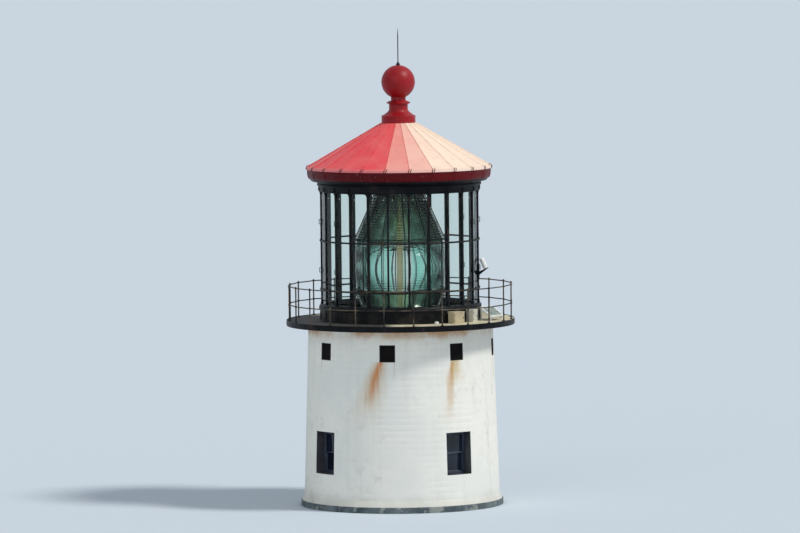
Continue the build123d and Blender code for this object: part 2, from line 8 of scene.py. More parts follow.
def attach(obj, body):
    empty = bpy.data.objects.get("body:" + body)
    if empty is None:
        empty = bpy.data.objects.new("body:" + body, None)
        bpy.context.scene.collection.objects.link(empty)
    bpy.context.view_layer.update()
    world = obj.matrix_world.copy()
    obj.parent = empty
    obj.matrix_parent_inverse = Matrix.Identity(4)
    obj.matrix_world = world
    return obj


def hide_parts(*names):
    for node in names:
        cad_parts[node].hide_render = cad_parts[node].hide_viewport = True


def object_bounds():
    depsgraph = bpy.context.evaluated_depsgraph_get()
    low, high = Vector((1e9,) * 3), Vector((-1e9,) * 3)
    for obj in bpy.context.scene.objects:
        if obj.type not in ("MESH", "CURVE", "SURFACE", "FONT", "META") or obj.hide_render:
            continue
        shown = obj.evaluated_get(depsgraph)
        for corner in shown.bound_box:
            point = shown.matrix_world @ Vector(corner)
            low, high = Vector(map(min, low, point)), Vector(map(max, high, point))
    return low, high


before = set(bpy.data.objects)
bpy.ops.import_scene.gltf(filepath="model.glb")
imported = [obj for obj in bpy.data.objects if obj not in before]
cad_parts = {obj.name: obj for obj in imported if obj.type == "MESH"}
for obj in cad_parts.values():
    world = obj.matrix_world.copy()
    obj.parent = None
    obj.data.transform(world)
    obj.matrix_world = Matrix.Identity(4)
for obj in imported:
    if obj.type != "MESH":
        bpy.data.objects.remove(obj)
cad_box = [list(corner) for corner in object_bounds()]

# Base course. A low ring of concrete round the foot of the tower, cast in place, weathered dark and
# with an eased upper arris. It is an outline turned round the tower's axis, as most of the tower is.
# The sizes are in metres, and an azimuth is 0 at the front, -Y, and 90 at the right, +X.


class Shape:
    """Points and faces gathered for one piece, each face with the number of its finish."""

    def __init__(self):
        self.points, self.faces, self.finishes = [], [], []

    def add(self, points, faces, finishes=0):
        """Points and the faces between them, with one finish for all or one for each."""
        first = len(self.points)
        self.points += [tuple(point) for point in points]
        self.faces += [tuple(first + corner for corner in face) for face in faces]
        self.finishes += finishes if isinstance(finishes, list) else [finishes] * len(faces)
        return self

    def put(self, other, place):
        """Another shape, moved by a matrix."""
        return self.add([place @ Vector(point) for point in other.points], other.faces, other.finishes)

    def around(self, other, count, first=0.0, radius=0.0, height=0.0):
        """A shape made at the front, moved out and up and repeated round the axis from an azimuth on."""
        for step in range(count):
            self.put(other, turned(first + step * 360 / count, radius, height))
        return self

    def sheet(self, rows, finish=0, round_about=False):
        """Quads between rows of equally many points, along each row or right round it."""
        size = len(rows[0])
        faces = [(row + step, row + (step + 1) % size, row + size + (step + 1) % size, row + size + step)
                 for row in range(0, (len(rows) - 1) * size, size)
                 for step in range(size if round_about else size - 1)]
        return self.add([point for row in rows for point in row], faces, finish)

    def ring(self, loops, finish=0):
        """Quads between loops of points, the last of which meets the first."""
        return self.sheet(loops + loops[:1], finish, True)

    def skin(self, loops, finish=0):
        """Quads between loops of points, with the first and the last closed by a face."""
        self.sheet(loops, finish, True)
        for loop in (loops[0], loops[-1]):
            self.add(loop, [range(len(loop))], finish)
        return self

    def spin(self, outline, sides=96, finish=0, up=0.0, out=0.0, inset=None):
        """A closed outline of (radius, height), moved up and out and turned all round the axis."""
        loops = []
        for step in range(sides):
            turn, loop = radians(step * 360 / sides), []
            for radius, height in outline:
                reach = radius + out - (inset(turn, radius, height) if inset else 0)
                loop.append((reach * sin(turn), -reach * cos(turn), height + up))
            loops.append(loop)
        return self.ring(loops, finish)

    def plate(self, outline, front, back, finish=0):
        """An outline of (x, z) on a plane that faces -Y, taken back to another depth."""
        return self.skin([[(x, depth, z) for x, z in outline] for depth in (front, back)], finish)

    def strip(self, outline, left, right, finish=0):
        """An outline of (y, z), run across from one x to another."""
        return self.skin([[(x, y, z) for y, z in outline] for x in (left, right)], finish)

    def border(self, half_width, half_height, middle, outline, widen=1.0):
        """A mitred frame that faces -Y, from an outline of (distance in from its edge, depth)."""
        return self.ring([[(side * (half_width - inset * widen), depth, middle + rise * (half_height - inset))
                           for inset, depth in outline]
                          for side, rise in ((-1, -1), (1, -1), (1, 1), (-1, 1))])

    def block(self, low, high, finish=0, bevel=0.0):
        """A box between two corners, with eased edges."""
        made = bmesh.new()
        middle = Matrix.Translation((Vector(low) + Vector(high)) / 2)
        size = Matrix.Diagonal((*(Vector(high) - Vector(low)), 1))
        bmesh.ops.create_cube(made, size=1, matrix=middle @ size)
        if bevel:
            bmesh.ops.bevel(made, geom=made.edges[:], offset=bevel, segments=1, affect="EDGES")
        made.verts.index_update()
        faces = [[vert.index for vert in face.verts] for face in made.faces]
        self.add([vert.co for vert in made.verts], faces, finish)
        made.free()
        return self

    def tube(self, path, radius, sides=12, finish=0):
        """A round bar along a path, mitred at its corners."""
        path = [Vector(point) for point in path]
        runs = [(after - before).normalized() for before, after in zip(path, path[1:])]
        loops, side = [], None
        for point, coming, going in zip(path, runs[:1] + runs, runs + runs[-1:]):
            along = (coming + going).normalized()
            side = along.orthogonal() if side is None else side - along * side.dot(along)
            side = side.normalized()
            across = along.cross(side)
            inward = (going - coming).normalized()
            widen = 1 / along.dot(coming) - 1
            spokes = [side * cos(2 * pi * turn / sides) + across * sin(2 * pi * turn / sides)
                      for turn in range(sides)]
            loops.append([point + (spoke + inward * spoke.dot(inward) * widen) * radius for spoke in spokes])
        return self.skin(loops, finish)

    def studs(self, places, levels, back, front, radius, sides=6, finish=0):
        """Heads of bolts or rivets on a face towards -Y, at each place across and each level."""
        for x in places:
            for level in levels:
                self.tube([(x, back, level), (x, front, level)], radius, sides, finish)
        return self


def turned(azimuth, radius=0.0, height=0.0):
    """The place at an azimuth for a shape made at the front, moved out and up."""
    return Matrix.Rotation(radians(azimuth), 4, "Z") @ Matrix.Translation((0, -radius, height))


def moved(outline, out, up=0.0):
    """An outline moved out and up."""
    return [(x + out, y + up) for x, y in outline]


def piece(name, shape, finishes, stands_for, smooth=25.0):
    """A mesh object of a shape, riding on the frame, smooth where its faces meet at a low angle."""
    mesh = bpy.data.meshes.new(name)
    mesh.from_pydata(shape.points, [], shape.faces)
    mesh.polygons.foreach_set("material_index", shape.finishes)
    tidy = bmesh.new()
    tidy.from_mesh(mesh)
    bmesh.ops.remove_doubles(tidy, verts=tidy.verts, dist=2e-5)
    bmesh.ops.dissolve_degenerate(tidy, edges=tidy.edges, dist=1e-6)
    bmesh.ops.recalc_face_normals(tidy, faces=tidy.faces)
    tidy.to_mesh(mesh)
    tidy.free()
    for finish in finishes:
        mesh.materials.append(finish)
    mesh.shade_smooth()
    mesh.set_sharp_from_angle(angle=radians(smooth))
    made = bpy.data.objects.new(name, mesh)
    bpy.context.scene.collection.objects.link(made)
    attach(made, "root")
    if stands_for:
        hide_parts(*stands_for)


def node(tree, kind, inputs, **settings):
    """The outputs of a new shader node with its settings, and with values or links for its inputs."""
    made = tree.nodes.new(kind)
    for key, value in settings.items():
        setattr(made, key, value)
    for socket, value in inputs.items():
        if isinstance(value, bpy.types.NodeSocket):
            tree.links.new(value, made.inputs[socket])
        else:
            made.inputs[socket].default_value = value
    return made.outputs


def wire(value, socket):
    """Link a value to a socket of the same tree."""
    socket.id_data.links.new(value, socket)


def maths(operation, first, second=0.0, clamp=False):
    """The result of a maths node on two values, at least one of them a link."""
    tree = (first if isinstance(first, bpy.types.NodeSocket) else second).id_data
    return node(tree, "ShaderNodeMath", {0: first, 1: second}, operation=operation, use_clamp=clamp)[0]


def plus(first, second):
    return maths("ADD", first, second)


def times(first, *others):
    for other in others:
        first = maths("MULTIPLY", first, other)
    return first


def ramp(value, low, high):
    """A value eased so that low gives 0 and high gives 1."""
    return node(value.id_data, "ShaderNodeMapRange", {"Value": value, "From Min": low, "From Max": high},
                interpolation_type="SMOOTHSTEP")["Result"]


def mixed(amount, first, second):
    """A colour between two colours."""
    return node(amount.id_data, "ShaderNodeMix", {0: amount, 6: first, 7: second}, data_type="RGBA")[2]


def spot(tree):
    """The point that is shaded, in the frame's own axes."""
    return node(tree, "ShaderNodeTexCoord", {})["Object"]


def cloud(tree, scale, detail=5.0, squash=(1, 1, 1), roughness=0.6):
    """A noise value over the piece, with the frame's axes scaled one by one."""
    place = node(tree, "ShaderNodeMapping", {"Vector": spot(tree), "Scale": squash})[0]
    return node(tree, "ShaderNodeTexNoise", {"Vector": place, "Scale": scale, "Detail": detail,
                                             "Roughness": roughness})[0]


def tone(red, green, blue):
    """A colour from the eight-bit values of a colour chart."""
    return tuple(level / 255 / 12.92 if level <= 10 else ((level / 255 + 0.055) / 1.055) ** 2.4
                 for level in (red, green, blue)) + (1.0,)


def effect(name, inputs, *outputs):
    """A new shader node group, with its named inputs and outputs to wire up."""
    group = bpy.data.node_groups.new(name, "ShaderNodeTree")
    for label, value in inputs.items():
        kind = "NodeSocketColor" if isinstance(value, tuple) else "NodeSocketFloat"
        group.interface.new_socket(label, in_out="INPUT", socket_type=kind).default_value = value
    for label in outputs:
        kind = "NodeSocketColor" if label == "Colour" else "NodeSocketFloat"
        group.interface.new_socket(label, in_out="OUTPUT", socket_type=kind)
    return group, group.nodes.new("NodeGroupInput").outputs, group.nodes.new("NodeGroupOutput").inputs


def material(name, roughness=0.5, **sockets):
    """A material with a Principled shader, whose plain values are set on its own sockets."""
    made = bpy.data.materials.new(name)
    made.use_nodes = True
    shader = made.node_tree.nodes["Principled BSDF"]
    shader.inputs["Roughness"].default_value = roughness
    for socket, value in sockets.items():
        shader.inputs[socket.replace("_", " ")].default_value = value
    return made, made.node_tree, shader.inputs


def bumped(height, distance, strength=1.0):
    """A normal for a height that is given in shares of a distance."""
    return node(height.id_data, "ShaderNodeBump", {"Height": height, "Distance": distance,
                                                   "Strength": strength})["Normal"]


# Weathering: paint or stone fades in large soft patches and gathers grime in smaller ones
weathering, given, result = effect(
    "Weathering", {"Colour": tone(188, 188, 188), "Faded": tone(203, 203, 203), "Grime": tone(89, 80, 70),
                   "Scale": 1.0, "Fade Amount": 0.5, "Grime Amount": 0.3}, "Colour")
patches = cloud(weathering, given["Scale"], 6.0, roughness=0.62)
specks = cloud(weathering, times(given["Scale"], 7.3), 8.0, roughness=0.7)
faded = mixed(times(ramp(patches, 0.38, 0.66), given["Fade Amount"]), given["Colour"], given["Faded"])
grimy = times(ramp(specks, 0.5, 0.72), given["Grime Amount"], ramp(patches, 0.62, 0.4))
wire(mixed(grimy, faded, given["Grime"]), result["Colour"])


def weathered(tree, colour, faded, grime, scale, fade, amount):
    """The colour of the weathering effect with a material's own tones and amounts."""
    values = {"Colour": tone(*colour), "Faded": tone(*faded), "Grime": tone(*grime), "Scale": scale,
              "Fade Amount": fade, "Grime Amount": amount}
    return node(tree, "ShaderNodeGroup", values, node_tree=weathering)["Colour"]


course_concrete, tree, shader = material("Dark weathered concrete", 0.85)
colour = weathered(tree, (66, 78, 84), (112, 124, 126), (40, 44, 42), 1.3, 0.9, 0.8)
lichen = times(ramp(cloud(tree, 2.2), 0.56, 0.62), 0.5)
wire(mixed(lichen, colour, tone(172, 174, 166)), shader["Base Color"])
wire(bumped(cloud(tree, 22, 8), 0.012), shader["Normal"])

base_radius, base_height, base_arris, tower_bore, mark_depth = 3.235, 0.190, 0.022, 2.550, 0.006


def casting_marks(turn, radius, height):
    """How far the outer face falls short of its outline."""
    mark = abs(noise.noise((turn / radians(9), height * 9, 3.1)))
    return mark_depth * mark if radius > tower_bore else 0.0


base_face = moved([(-0.006, 0), (0, 0.006), (0, 0.09), (-0.002, base_height - base_arris),
                   (-base_arris / 3, base_height - base_arris / 3), (-base_arris, base_height)], base_radius)
base = Shape().spin([(tower_bore, 0), *base_face, (tower_bore, base_height)], 180, inset=casting_marks)
piece("base_ring", base, [course_concrete], ["base_course"], 30)

# Ground floor. A slab of concrete, cast inside the base course when the wall stood, floated smooth
# and gone dusty with use.


def coat(name, roughness, tones, wear, grain=None, **sockets):
    """A material of one weathered finish: its tones, how they are worn, and the noise of its surface."""
    made, tree, shader = material(name, roughness, **sockets)
    wire(weathered(tree, *tones, *wear), shader["Base Color"])
    if grain:
        scale, detail, depth = grain
        wire(bumped(cloud(tree, scale, detail), depth), shader["Normal"])
    return made


def refinish(name, finish):
    """Give a node of the frame its finish."""
    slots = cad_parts[name].data.materials
    slots.clear()
    slots.append(finish)


refinish("ground_floor", coat("Floated concrete", 0.8, ((140, 138, 130), (160, 158, 148), (80, 76, 68)),
                              (0.9, 0.7, 0.6), (14, 5, 0.004)))

# Tower wall. Brick laid in courses, rendered and limewashed, with a battered face and a plumb bore, in
# eight upright slices. Doorway, windows and ventilators are cut through with eased arrises, and the
# courses show faintly through the wash.
wall_foot, wall_crown, wall_top, wall_arris = 3.130, 2.950, 5.770, 0.012
splay_out, splay_height = 0.078, 0.250
course_height, course_count, joint_depth, joint_height = 0.2, 28, 0.0016, 0.007
flat_half = 0.62                # half the width round the middle in which the grid is square
mid_radius = 2.8                # where a slice's columns are measured against its openings
face_radius = 3.05              # of the wall's face where marks run down it
column_step, row_step, side_columns = 0.065, 0.1, 9
wave_depth, ripple_depth = 0.004, 0.0012
vent_half, vent_low, vent_high = 0.25, 4.77, 5.31
window_half, window_low, window_high = 0.475, 1.15, 2.49
door_half, door_high = 0.475, 2.25
window_azimuths = (45, 135, 315)
door_azimuth = 225
slice_names = ("front", "front_right", "right", "back_right", "back", "back_left", "left", "front_left")
slice_angle = 360 / len(slice_names)


def wall_radius(height):
    """Radius of the wall's battered face, which spreads in a curve at its foot."""
    rise = (height - base_height) / (wall_top - base_height)
    foot = max(0.0, 1 - (height - base_height) / splay_height)
    return wall_foot + (wall_crown - wall_foot) * rise + splay_out * foot ** 2


def spaced(marks, spacing):
    """Positions that take in all the marks and are no further apart than a spacing."""
    marks = sorted(set(round(mark, 5) for mark in marks))
    places = []
    for low, high in zip(marks, marks[1:]):
        parts = max(1, ceil((high - low) / spacing - 1e-6))
        places += [low + (high - low) * part / parts for part in range(parts)]
    return places + [marks[-1]]


def nearest(places, wanted):
    """The number of the place that is nearest to a wanted one."""
    return min(range(len(places)), key=lambda step: abs(places[step] - wanted))


def wall_slice(azimuth, openings):
    """One slice of the wall, facing -Y, with openings of (half width, low, high)."""
    edges = [side * (half + wall_arris) for half, low, high in openings for side in (-1, 1)]
    shares = [step / side_columns for step in range(1, side_columns + 1)]
    columns = [(-flat_half, share) for share in reversed(shares)]
    columns += [(x, 0) for x in spaced([-flat_half, *edges, flat_half], column_step)]
    columns += [(flat_half, share) for share in shares]
    joints = [base_height + course_height * step for step in range(1, course_count)]
    levels = [base_height, base_height + splay_height, wall_top]
    levels += [level for half, low, high in openings for level in (low - wall_arris, high + wall_arris)]
    levels += [joint + side * joint_height for joint in joints for side in (-1, 0, 1)]
    rows = [height for height in spaced(levels, row_step) if base_height <= height <= wall_top]
    turn = turned(azimuth)

    def across(column, radius):
        fixed, share = column
        edge = radius * sin(radians(slice_angle / 2))
        return fixed + (edge - abs(fixed)) * share * (1 if fixed > 0 else -1)

    def outside(x, height):
        radius = wall_radius(height)
        point = Vector((x, -sqrt(radius ** 2 - x ** 2), height))
        place = turn @ point
        near = min(abs(height - joint) for joint in joints)
        bare = max(0.0, noise.noise(place * 0.55) + 0.30 * noise.noise(place * 2.3) + 0.12)
        cut = joint_depth * min(1.0, bare * 2.2) if near < joint_height / 2 else 0
        wave = wave_depth * noise.noise(place * 1.1) + ripple_depth * noise.noise(place * 7)
        shrink = 1 + (wave - wave_depth - cut) / radius
        return Vector((point.x * shrink, point.y * shrink, height))

    def inside(x, height):
        return Vector((x, -sqrt(tower_bore ** 2 - x ** 2), height))

    outer = [[outside(across(column, wall_radius(height)), height) for column in columns] for height in rows]
    inner = [[inside(across(column, tower_bore), height) for column in columns] for height in rows]
    middles = [across(column, mid_radius) for column in columns]
    wide, top = len(columns), len(rows) - 1

    def stands(row, step):
        x, height = (middles[step] + middles[step + 1]) / 2, (rows[row] + rows[row + 1]) / 2
        return not any(abs(x) < half + wall_arris and low - wall_arris < height < high + wall_arris
                       for half, low, high in openings)

    faces = [(row * wide + step, row * wide + step + 1, (row + 1) * wide + step + 1, (row + 1) * wide + step)
             for row in range(top) for step in range(wide - 1) if stands(row, step)]
    shape = Shape()
    for grid in (outer, inner):
        shape.add([point for row in grid for point in row], faces)
    for step in (0, -1):
        shape.sheet([[row[step] for row in grid] for grid in (outer, inner)])
    shape.sheet([outer[top], inner[top]])
    for step in range(wide - 1):
        if stands(0, step):
            shape.sheet([outer[0][step:step + 2], inner[0][step:step + 2]])

    for half, low, high in openings:
        left, right = nearest(middles, -half - wall_arris), nearest(middles, half + wall_arris)
        sill, head = nearest(rows, low - wall_arris), nearest(rows, high + wall_arris)
        whole = low > base_height
        route = [(row, left) for row in range(sill, head)] + [(head, step) for step in range(left, right)]
        route += [(row, right) for row in range(head, sill, -1)]
        route += [(sill, step) for step in range(right, left, -1)] if whole else [(sill, right)]
        lips = [(max(-half, min(half, middles[step])), max(low, min(high, rows[row]))) for row, step in route]
        ease = Vector((0, wall_arris, 0))
        loops = [[outer[row][step] for row, step in route], [outside(*lip) + ease for lip in lips],
                 [inside(*lip) - ease for lip in lips], [inner[row][step] for row, step in route]]
        shape.sheet(loops[:2], 0, whole)
        # The reveals of whole openings take the second finish, a dark render that is partly painted shade.
        shape.sheet(loops[1:], 1 if whole else 0, whole)
        if not whole:
            for end in (0, -1):
                shape.add([loop[end] for loop in loops], [(0, 1, 2, 3)])
    return shape


def tower_place(tree):
    """The bearing in degrees and the height in metres of the point that is shaded."""
    axes = node(tree, "ShaderNodeSeparateXYZ", {0: spot(tree)})
    return maths("DEGREES", maths("ARCTAN2", axes["X"], times(axes["Y"], -1.0))), axes["Z"]


# Rust and dirt washed down the wall from one point to another, wider and fainter as it goes
wash_mark, given, result = effect(
    "Wash mark", {"From Azimuth": 0.0, "From Height": 5.0, "To Azimuth": 0.0, "To Height": 3.0, "Width": 0.2},
    "Mask")
bearing, height = tower_place(wash_mark)
drop = maths("DIVIDE", maths("SUBTRACT", given["From Height"], height),
             maths("SUBTRACT", given["From Height"], given["To Height"]))
swing = times(drop, maths("SUBTRACT", given["To Azimuth"], given["From Azimuth"]))
waver = times(plus(cloud(wash_mark, 1.6), -0.5), 3.0)
aside = maths("ABSOLUTE", plus(maths("SUBTRACT", bearing, plus(given["From Azimuth"], swing)), waver))
spread = times(given["Width"], plus(times(drop, 0.9), 0.40))
reach = maths("DIVIDE", times(aside, radians(1) * face_radius), spread)
along = times(ramp(drop, -0.01, 0.03), ramp(drop, 1.0, 0.15))
threads = plus(times(ramp(cloud(wash_mark, 9, 6, (1, 1, 0.06)), 0.3, 0.62), 0.55), 0.45)
wire(times(ramp(reach, 1.0, 0.0), along, threads), result["Mask"])

limewash, tree, shader = material("Limewashed render", 0.78)
colour = weathered(tree, (240, 238, 228), (226, 226, 220), (196, 192, 178), 0.45, 0.7, 0.45)
runs = times(ramp(cloud(tree, 3.2, 6, (1, 1, 0.05)), 0.5, 0.75), 0.16)
colour = mixed(runs, colour, tone(178, 174, 158))
ragged = plus(tower_place(tree)[1], times(cloud(tree, 1.1, 6, (1, 1, 0.5)), 0.55))
under_deck = times(ramp(ragged, 5.66, 5.98), ramp(cloud(tree, 0.55), 0.36, 0.56), 0.85)
colour = mixed(under_deck, colour, tone(190, 138, 84))
splashed = times(ramp(ragged, 0.95, 0.45), 0.4)
colour = mixed(splashed, colour, tone(158, 158, 142))
for start, end, foot, width, strength, rust in (
    (-4.6, -17.0, 2.50, 0.80, 0.85, (204, 174, 128)),
    (-4.4, -13.0, 3.10, 0.30, 1.0, (206, 122, 56)),
    (44.2, 43.0, 3.80, 0.64, 0.85, (204, 182, 136)),
    (41.4, 37.0, 2.50, 0.30, 0.95, (190, 142, 74)),
    (4.2, 3.6, 4.1, 0.08, 0.45, (170, 140, 100)),
    (-48.5, -49.5, 4.2, 0.08, 0.35, (170, 140, 100)),
    (88.0, 87.0, 3.6, 0.14, 0.6, (160, 110, 62)),
    (178.5, 176.0, 3.3, 0.14, 0.7, (156, 100, 52)),
    (-92.0, -94.0, 3.5, 0.13, 0.6, (160, 108, 60)),
):
    values = {"From Azimuth": start, "From Height": vent_low + 0.020, "To Azimuth": end, "To Height": foot,
              "Width": width}
    mask = node(tree, "ShaderNodeGroup", values, node_tree=wash_mark)["Mask"]
    colour = mixed(times(mask, strength), colour, tone(*rust))
wire(colour, shader["Base Color"])
wire(bumped(plus(cloud(tree, 3.5, 8), times(cloud(tree, 60, 3), 0.25)), 0.006), shader["Normal"])
# Painted shade: the reveals of the windows and ventilators get a dark grey render, partly a darker render and
# partly the shade that falls deep in the reveals.
reveal_render_and_shade = coat("Dark reveal render and painted shade", 0.8, ((62, 62, 68), (92, 92, 94), (30, 28, 26)), (1.6, 0.7, 0.7),
                     (26, 6, 0.003))

for step, name in enumerate(slice_names):
    azimuth = step * slice_angle
    openings = [(vent_half, vent_low, vent_high)]
    if azimuth in window_azimuths:
        openings.append((window_half, window_low, window_high))
    if azimuth == door_azimuth:
        openings.append((door_half, base_height, door_high))
    piece(f"masonry_{name}", Shape().put(wall_slice(azimuth, openings), turned(azimuth)),
          [limewash, reveal_render_and_shade], [f"wall_{name}", "vent_piers", "wall_head"], 30)

# Sash windows. Each has a deep timber frame against the masonry, and two sliding sashes with a glazed
# light and a middle bar, the upper sash outside. The timber is painted dark blue-grey.
window_reveal, frame_bar, frame_depth, sash_bar, sash_depth = 0.340, 0.060, 0.090, 0.045, 0.040
window_middle, window_tall = (window_low + window_high) / 2, window_high - window_low
window_radius = wall_radius(window_middle) - window_reveal

joinery_paint, tree, shader = material("Dark joinery paint", 0.42, Coat_Weight=0.1)
colour = weathered(tree, (34, 44, 62), (62, 74, 90), (18, 18, 20), 2.6, 0.6, 0.5)
grain = cloud(tree, 26, 5, (1, 1, 0.08))
wire(mixed(times(ramp(grain, 0.55, 0.8), 0.35), colour, tone(92, 90, 84)), shader["Base Color"])
wire(bumped(grain, 0.0012), shader["Normal"])

frame_outline = [(0, 0.004), (0.004, 0), (frame_bar - 0.020, 0), (frame_bar - 0.014, 0.010),
                 (frame_bar - 0.004, 0.014), (frame_bar, 0.020), (frame_bar, frame_depth), (0, frame_depth)]
sash_outline = [(0, 0.002), (0.002, 0), (sash_bar - 0.016, 0), (sash_bar - 0.006, 0.006), (sash_bar, 0.014),
                (sash_bar, sash_depth), (0, sash_depth)]
sash_half, light_tall = window_half - frame_bar, window_tall - 2 * frame_bar
sash_tall = (light_tall + sash_bar) / 2
glazing_bar, catch_half = 0.022, 0.035

window = Shape().border(window_half - 0.001, window_tall / 2 - 0.001, window_middle, frame_outline)
for side, back in ((1, frame_depth / 2 - sash_depth), (-1, frame_depth / 2)):
    middle = window_middle + side * (light_tall - sash_tall) / 2
    bar_half = sash_tall / 2 - sash_bar + 0.002
    sash = Shape().border(sash_half - 0.001, sash_tall / 2, middle, sash_outline)
    sash.block((-glazing_bar / 2, 0.006, middle - bar_half), (glazing_bar / 2, 0.034, middle + bar_half),
               bevel=0.004)
    window.put(sash, Matrix.Translation((0, back, 0)))
sill_half, sill_low, sill_proud = window_half - 0.002, window_low + 0.001, 0.022
window.block((-sill_half, -sill_proud, sill_low), (sill_half, 0.002, sill_low + 0.024))
catch_low = window_middle + light_tall / 2 - sash_tall + 0.010
window.block((-catch_half, frame_depth / 2 + 0.004, catch_low),
             (catch_half, frame_depth / 2 + 0.016, catch_low + 0.016), bevel=0.003)
frames = Shape()
for azimuth in window_azimuths:
    frames.put(window, turned(azimuth, window_radius))
piece("sash_windows", frames, [joinery_paint], ["window_frames"])

# Window glass. Old drawn panes, bedded in putty in the sashes, and filmed with salt. The glass is opaque, and
# its dark blue is painted shade for the unlit room behind it.
window_glass_painted_dark, tree, shader = material("Window glass with painted room shade", 0.06, IOR=1.5)
wire(weathered(tree, (10, 16, 30), (26, 36, 54), (52, 54, 52), 1.4, 0.8, 0.35), shader["Base Color"])
wire(plus(times(ramp(cloud(tree, 3.4, 7), 0.42, 0.8), 0.25), 0.05), shader["Roughness"])
wire(bumped(cloud(tree, 1.3, 2), 0.01, 0.4), shader["Normal"])
refinish("window_panes", window_glass_painted_dark)

# Door. A framed timber leaf with two sunk panels, hung on strap hinges in a rebated frame, with a pull
# handle and a lock plate. It is painted like the windows.
door_reveal, leaf_thickness, door_stop, door_gap, panel_margin = 0.170, 0.050, 0.018, 0.003, 0.130
door_radius = wall_radius((base_height + door_high) / 2) - door_reveal
leaf_half = door_half - frame_bar - door_gap
leaf_low, leaf_high = base_height + door_gap, door_high - frame_bar - door_gap

jamb = [(0, 0), (frame_bar - 0.010, 0), (frame_bar, 0.008), (frame_bar, leaf_thickness),
        (frame_bar + door_stop, leaf_thickness), (frame_bar + door_stop, frame_depth), (0, frame_depth)]
surround = Shape().skin([[(side * (door_half - inset - 0.001), depth, level - mitre * (inset + 0.001))
                          for inset, depth in jamb]
                         for side, level, mitre in ((-1, base_height, 0), (-1, door_high, 1),
                                                    (1, door_high, 1), (1, base_height, 0))])
piece("door_surround", Shape().put(surround, turned(door_azimuth, door_radius)), [joinery_paint],
      ["door_frame"])

leaf = Shape()
panel_half, field_inset, hinge_inset = leaf_half - panel_margin, 0.078, 0.25
panel_tall = (leaf_high - leaf_low - 3 * panel_margin) / 2
for side in (-1, 1):
    edges = sorted((side * leaf_half, side * panel_half))
    leaf.block((edges[0], 0, leaf_low), (edges[1], leaf_thickness, leaf_high), bevel=0.003)
panel_outline = [(-0.002, 0.004), (0.010, 0.006), (0.018, 0.014), (0.055, 0.016), (0.075, 0.009),
                 (0.080, 0.009), (0.080, 0.034), (-0.002, 0.040)]
for step in range(3):
    rail_low = leaf_low + step * (panel_margin + panel_tall)
    leaf.block((-panel_half - 0.001, 0.001, rail_low),
               (panel_half + 0.001, leaf_thickness - 0.001, rail_low + panel_margin), bevel=0.002)
    if step < 2:
        middle, field = rail_low + panel_margin + panel_tall / 2, panel_tall / 2 - field_inset
        leaf.border(panel_half, panel_tall / 2, middle, panel_outline)
        leaf.block((field_inset - panel_half, 0.009, middle - field),
                   (panel_half - field_inset, 0.034, middle + field))
door_iron = coat("Rusted door iron", 0.5, ((30, 32, 36), (56, 56, 56), (110, 58, 30)), (5.0, 0.6, 1.0),
                 (60, 5, 0.002), Metallic=0.4)
hinge = [(-leaf_half - 0.005, -0.022), (leaf_half * 0.55, -0.018), (leaf_half * 0.62, -0.030),
         (leaf_half * 0.70, 0), (leaf_half * 0.62, 0.030), (leaf_half * 0.55, 0.018),
         (-leaf_half - 0.005, 0.022)]
for level in (leaf_low + hinge_inset, leaf_high - hinge_inset):
    leaf.plate([(x, level + z) for x, z in hinge], -0.006, 0.002, 1)
    leaf.tube([(-leaf_half - 0.006, -0.008, level + end) for end in (-0.045, 0.045)], 0.011, 12, 1)
    leaf.studs([leaf_half * share for share in (-0.8, -0.4, 0, 0.4)], [level], 0, -0.011, 0.009, 10, 1)
pull_x, pull_low, pull_high = leaf_half - 0.065, leaf_low + 0.92, leaf_low + 1.10
leaf.tube([(pull_x, 0.002, pull_low), (pull_x, -0.045, pull_low), (pull_x, -0.045, pull_high),
           (pull_x, 0.002, pull_high)], 0.008, 10, 1)
leaf.block((pull_x - 0.024, -0.004, pull_low - 0.16), (pull_x + 0.024, 0.002, pull_low - 0.05), 1, 0.002)
piece("door", Shape().put(leaf, turned(door_azimuth, door_radius)), [joinery_paint, door_iron],
      ["door_leaf"])

# Ventilators. Each of the eight holes in the wall has a black iron frame with sloping blades, set just inside
# the face, so that it reads as a black square. The blades' black stands partly as painted shade for the dark
# inside of the holes.
vent_tall, vent_middle, blade_count = vent_high - vent_low, (vent_low + vent_high) / 2, 9
louvre_black_and_shade = coat("Louvre black with painted shade", 0.7, ((9, 10, 12), (18, 18, 20), (58, 34, 20)), (4.0, 0.5, 0.7),
                    (70, 5, 0.0015))
louvre = Shape().border(vent_half - 0.002, vent_tall / 2 - 0.002, vent_middle,
                        [(0, 0), (0.026, 0), (0.028, 0.003), (0.028, 0.110), (0, 0.110)])
for step in range(blade_count):
    level = vent_low + (step + 0.5) * vent_tall / blade_count
    louvre.strip([(0.012, level - 0.030), (0.016, level - 0.034), (0.098, level + 0.030),
                  (0.094, level + 0.034)], -vent_half + 0.020, vent_half - 0.020)
piece("vent_louvres", Shape().around(louvre, 8, 0, wall_radius(vent_middle) - 0.045), [louvre_black_and_shade], ())

# Gallery deck. A concrete ring on the wall's head, sealed and painted cream, with joints between its
# bays, a screed that falls to the rim, and a rim plate of riveted black iron.
deck_radius, deck_bore, deck_low, deck_top = 3.628, 2.400, 5.770, 5.930
bay_count, deck_joint, joint_sunk = 24, radians(0.075), 0.006
bay_angle = 360 / bay_count
half_bay = radians(bay_angle / 2)

deck_paint, tree, shader = material("Worn deck paint and painted shadow", 0.7)
colour = weathered(tree, (226, 218, 186), (196, 188, 160), (96, 86, 68), 1.1, 0.8, 0.7)
bearing, height = tower_place(tree)
colour = mixed(ramp(height, deck_low + 0.05, deck_low + 0.005), colour, tone(196, 186, 166))
stains = times(ramp(cloud(tree, 1.9, 7), 0.5, 0.68), 0.55)
colour = mixed(stains, colour, tone(150, 104, 62))
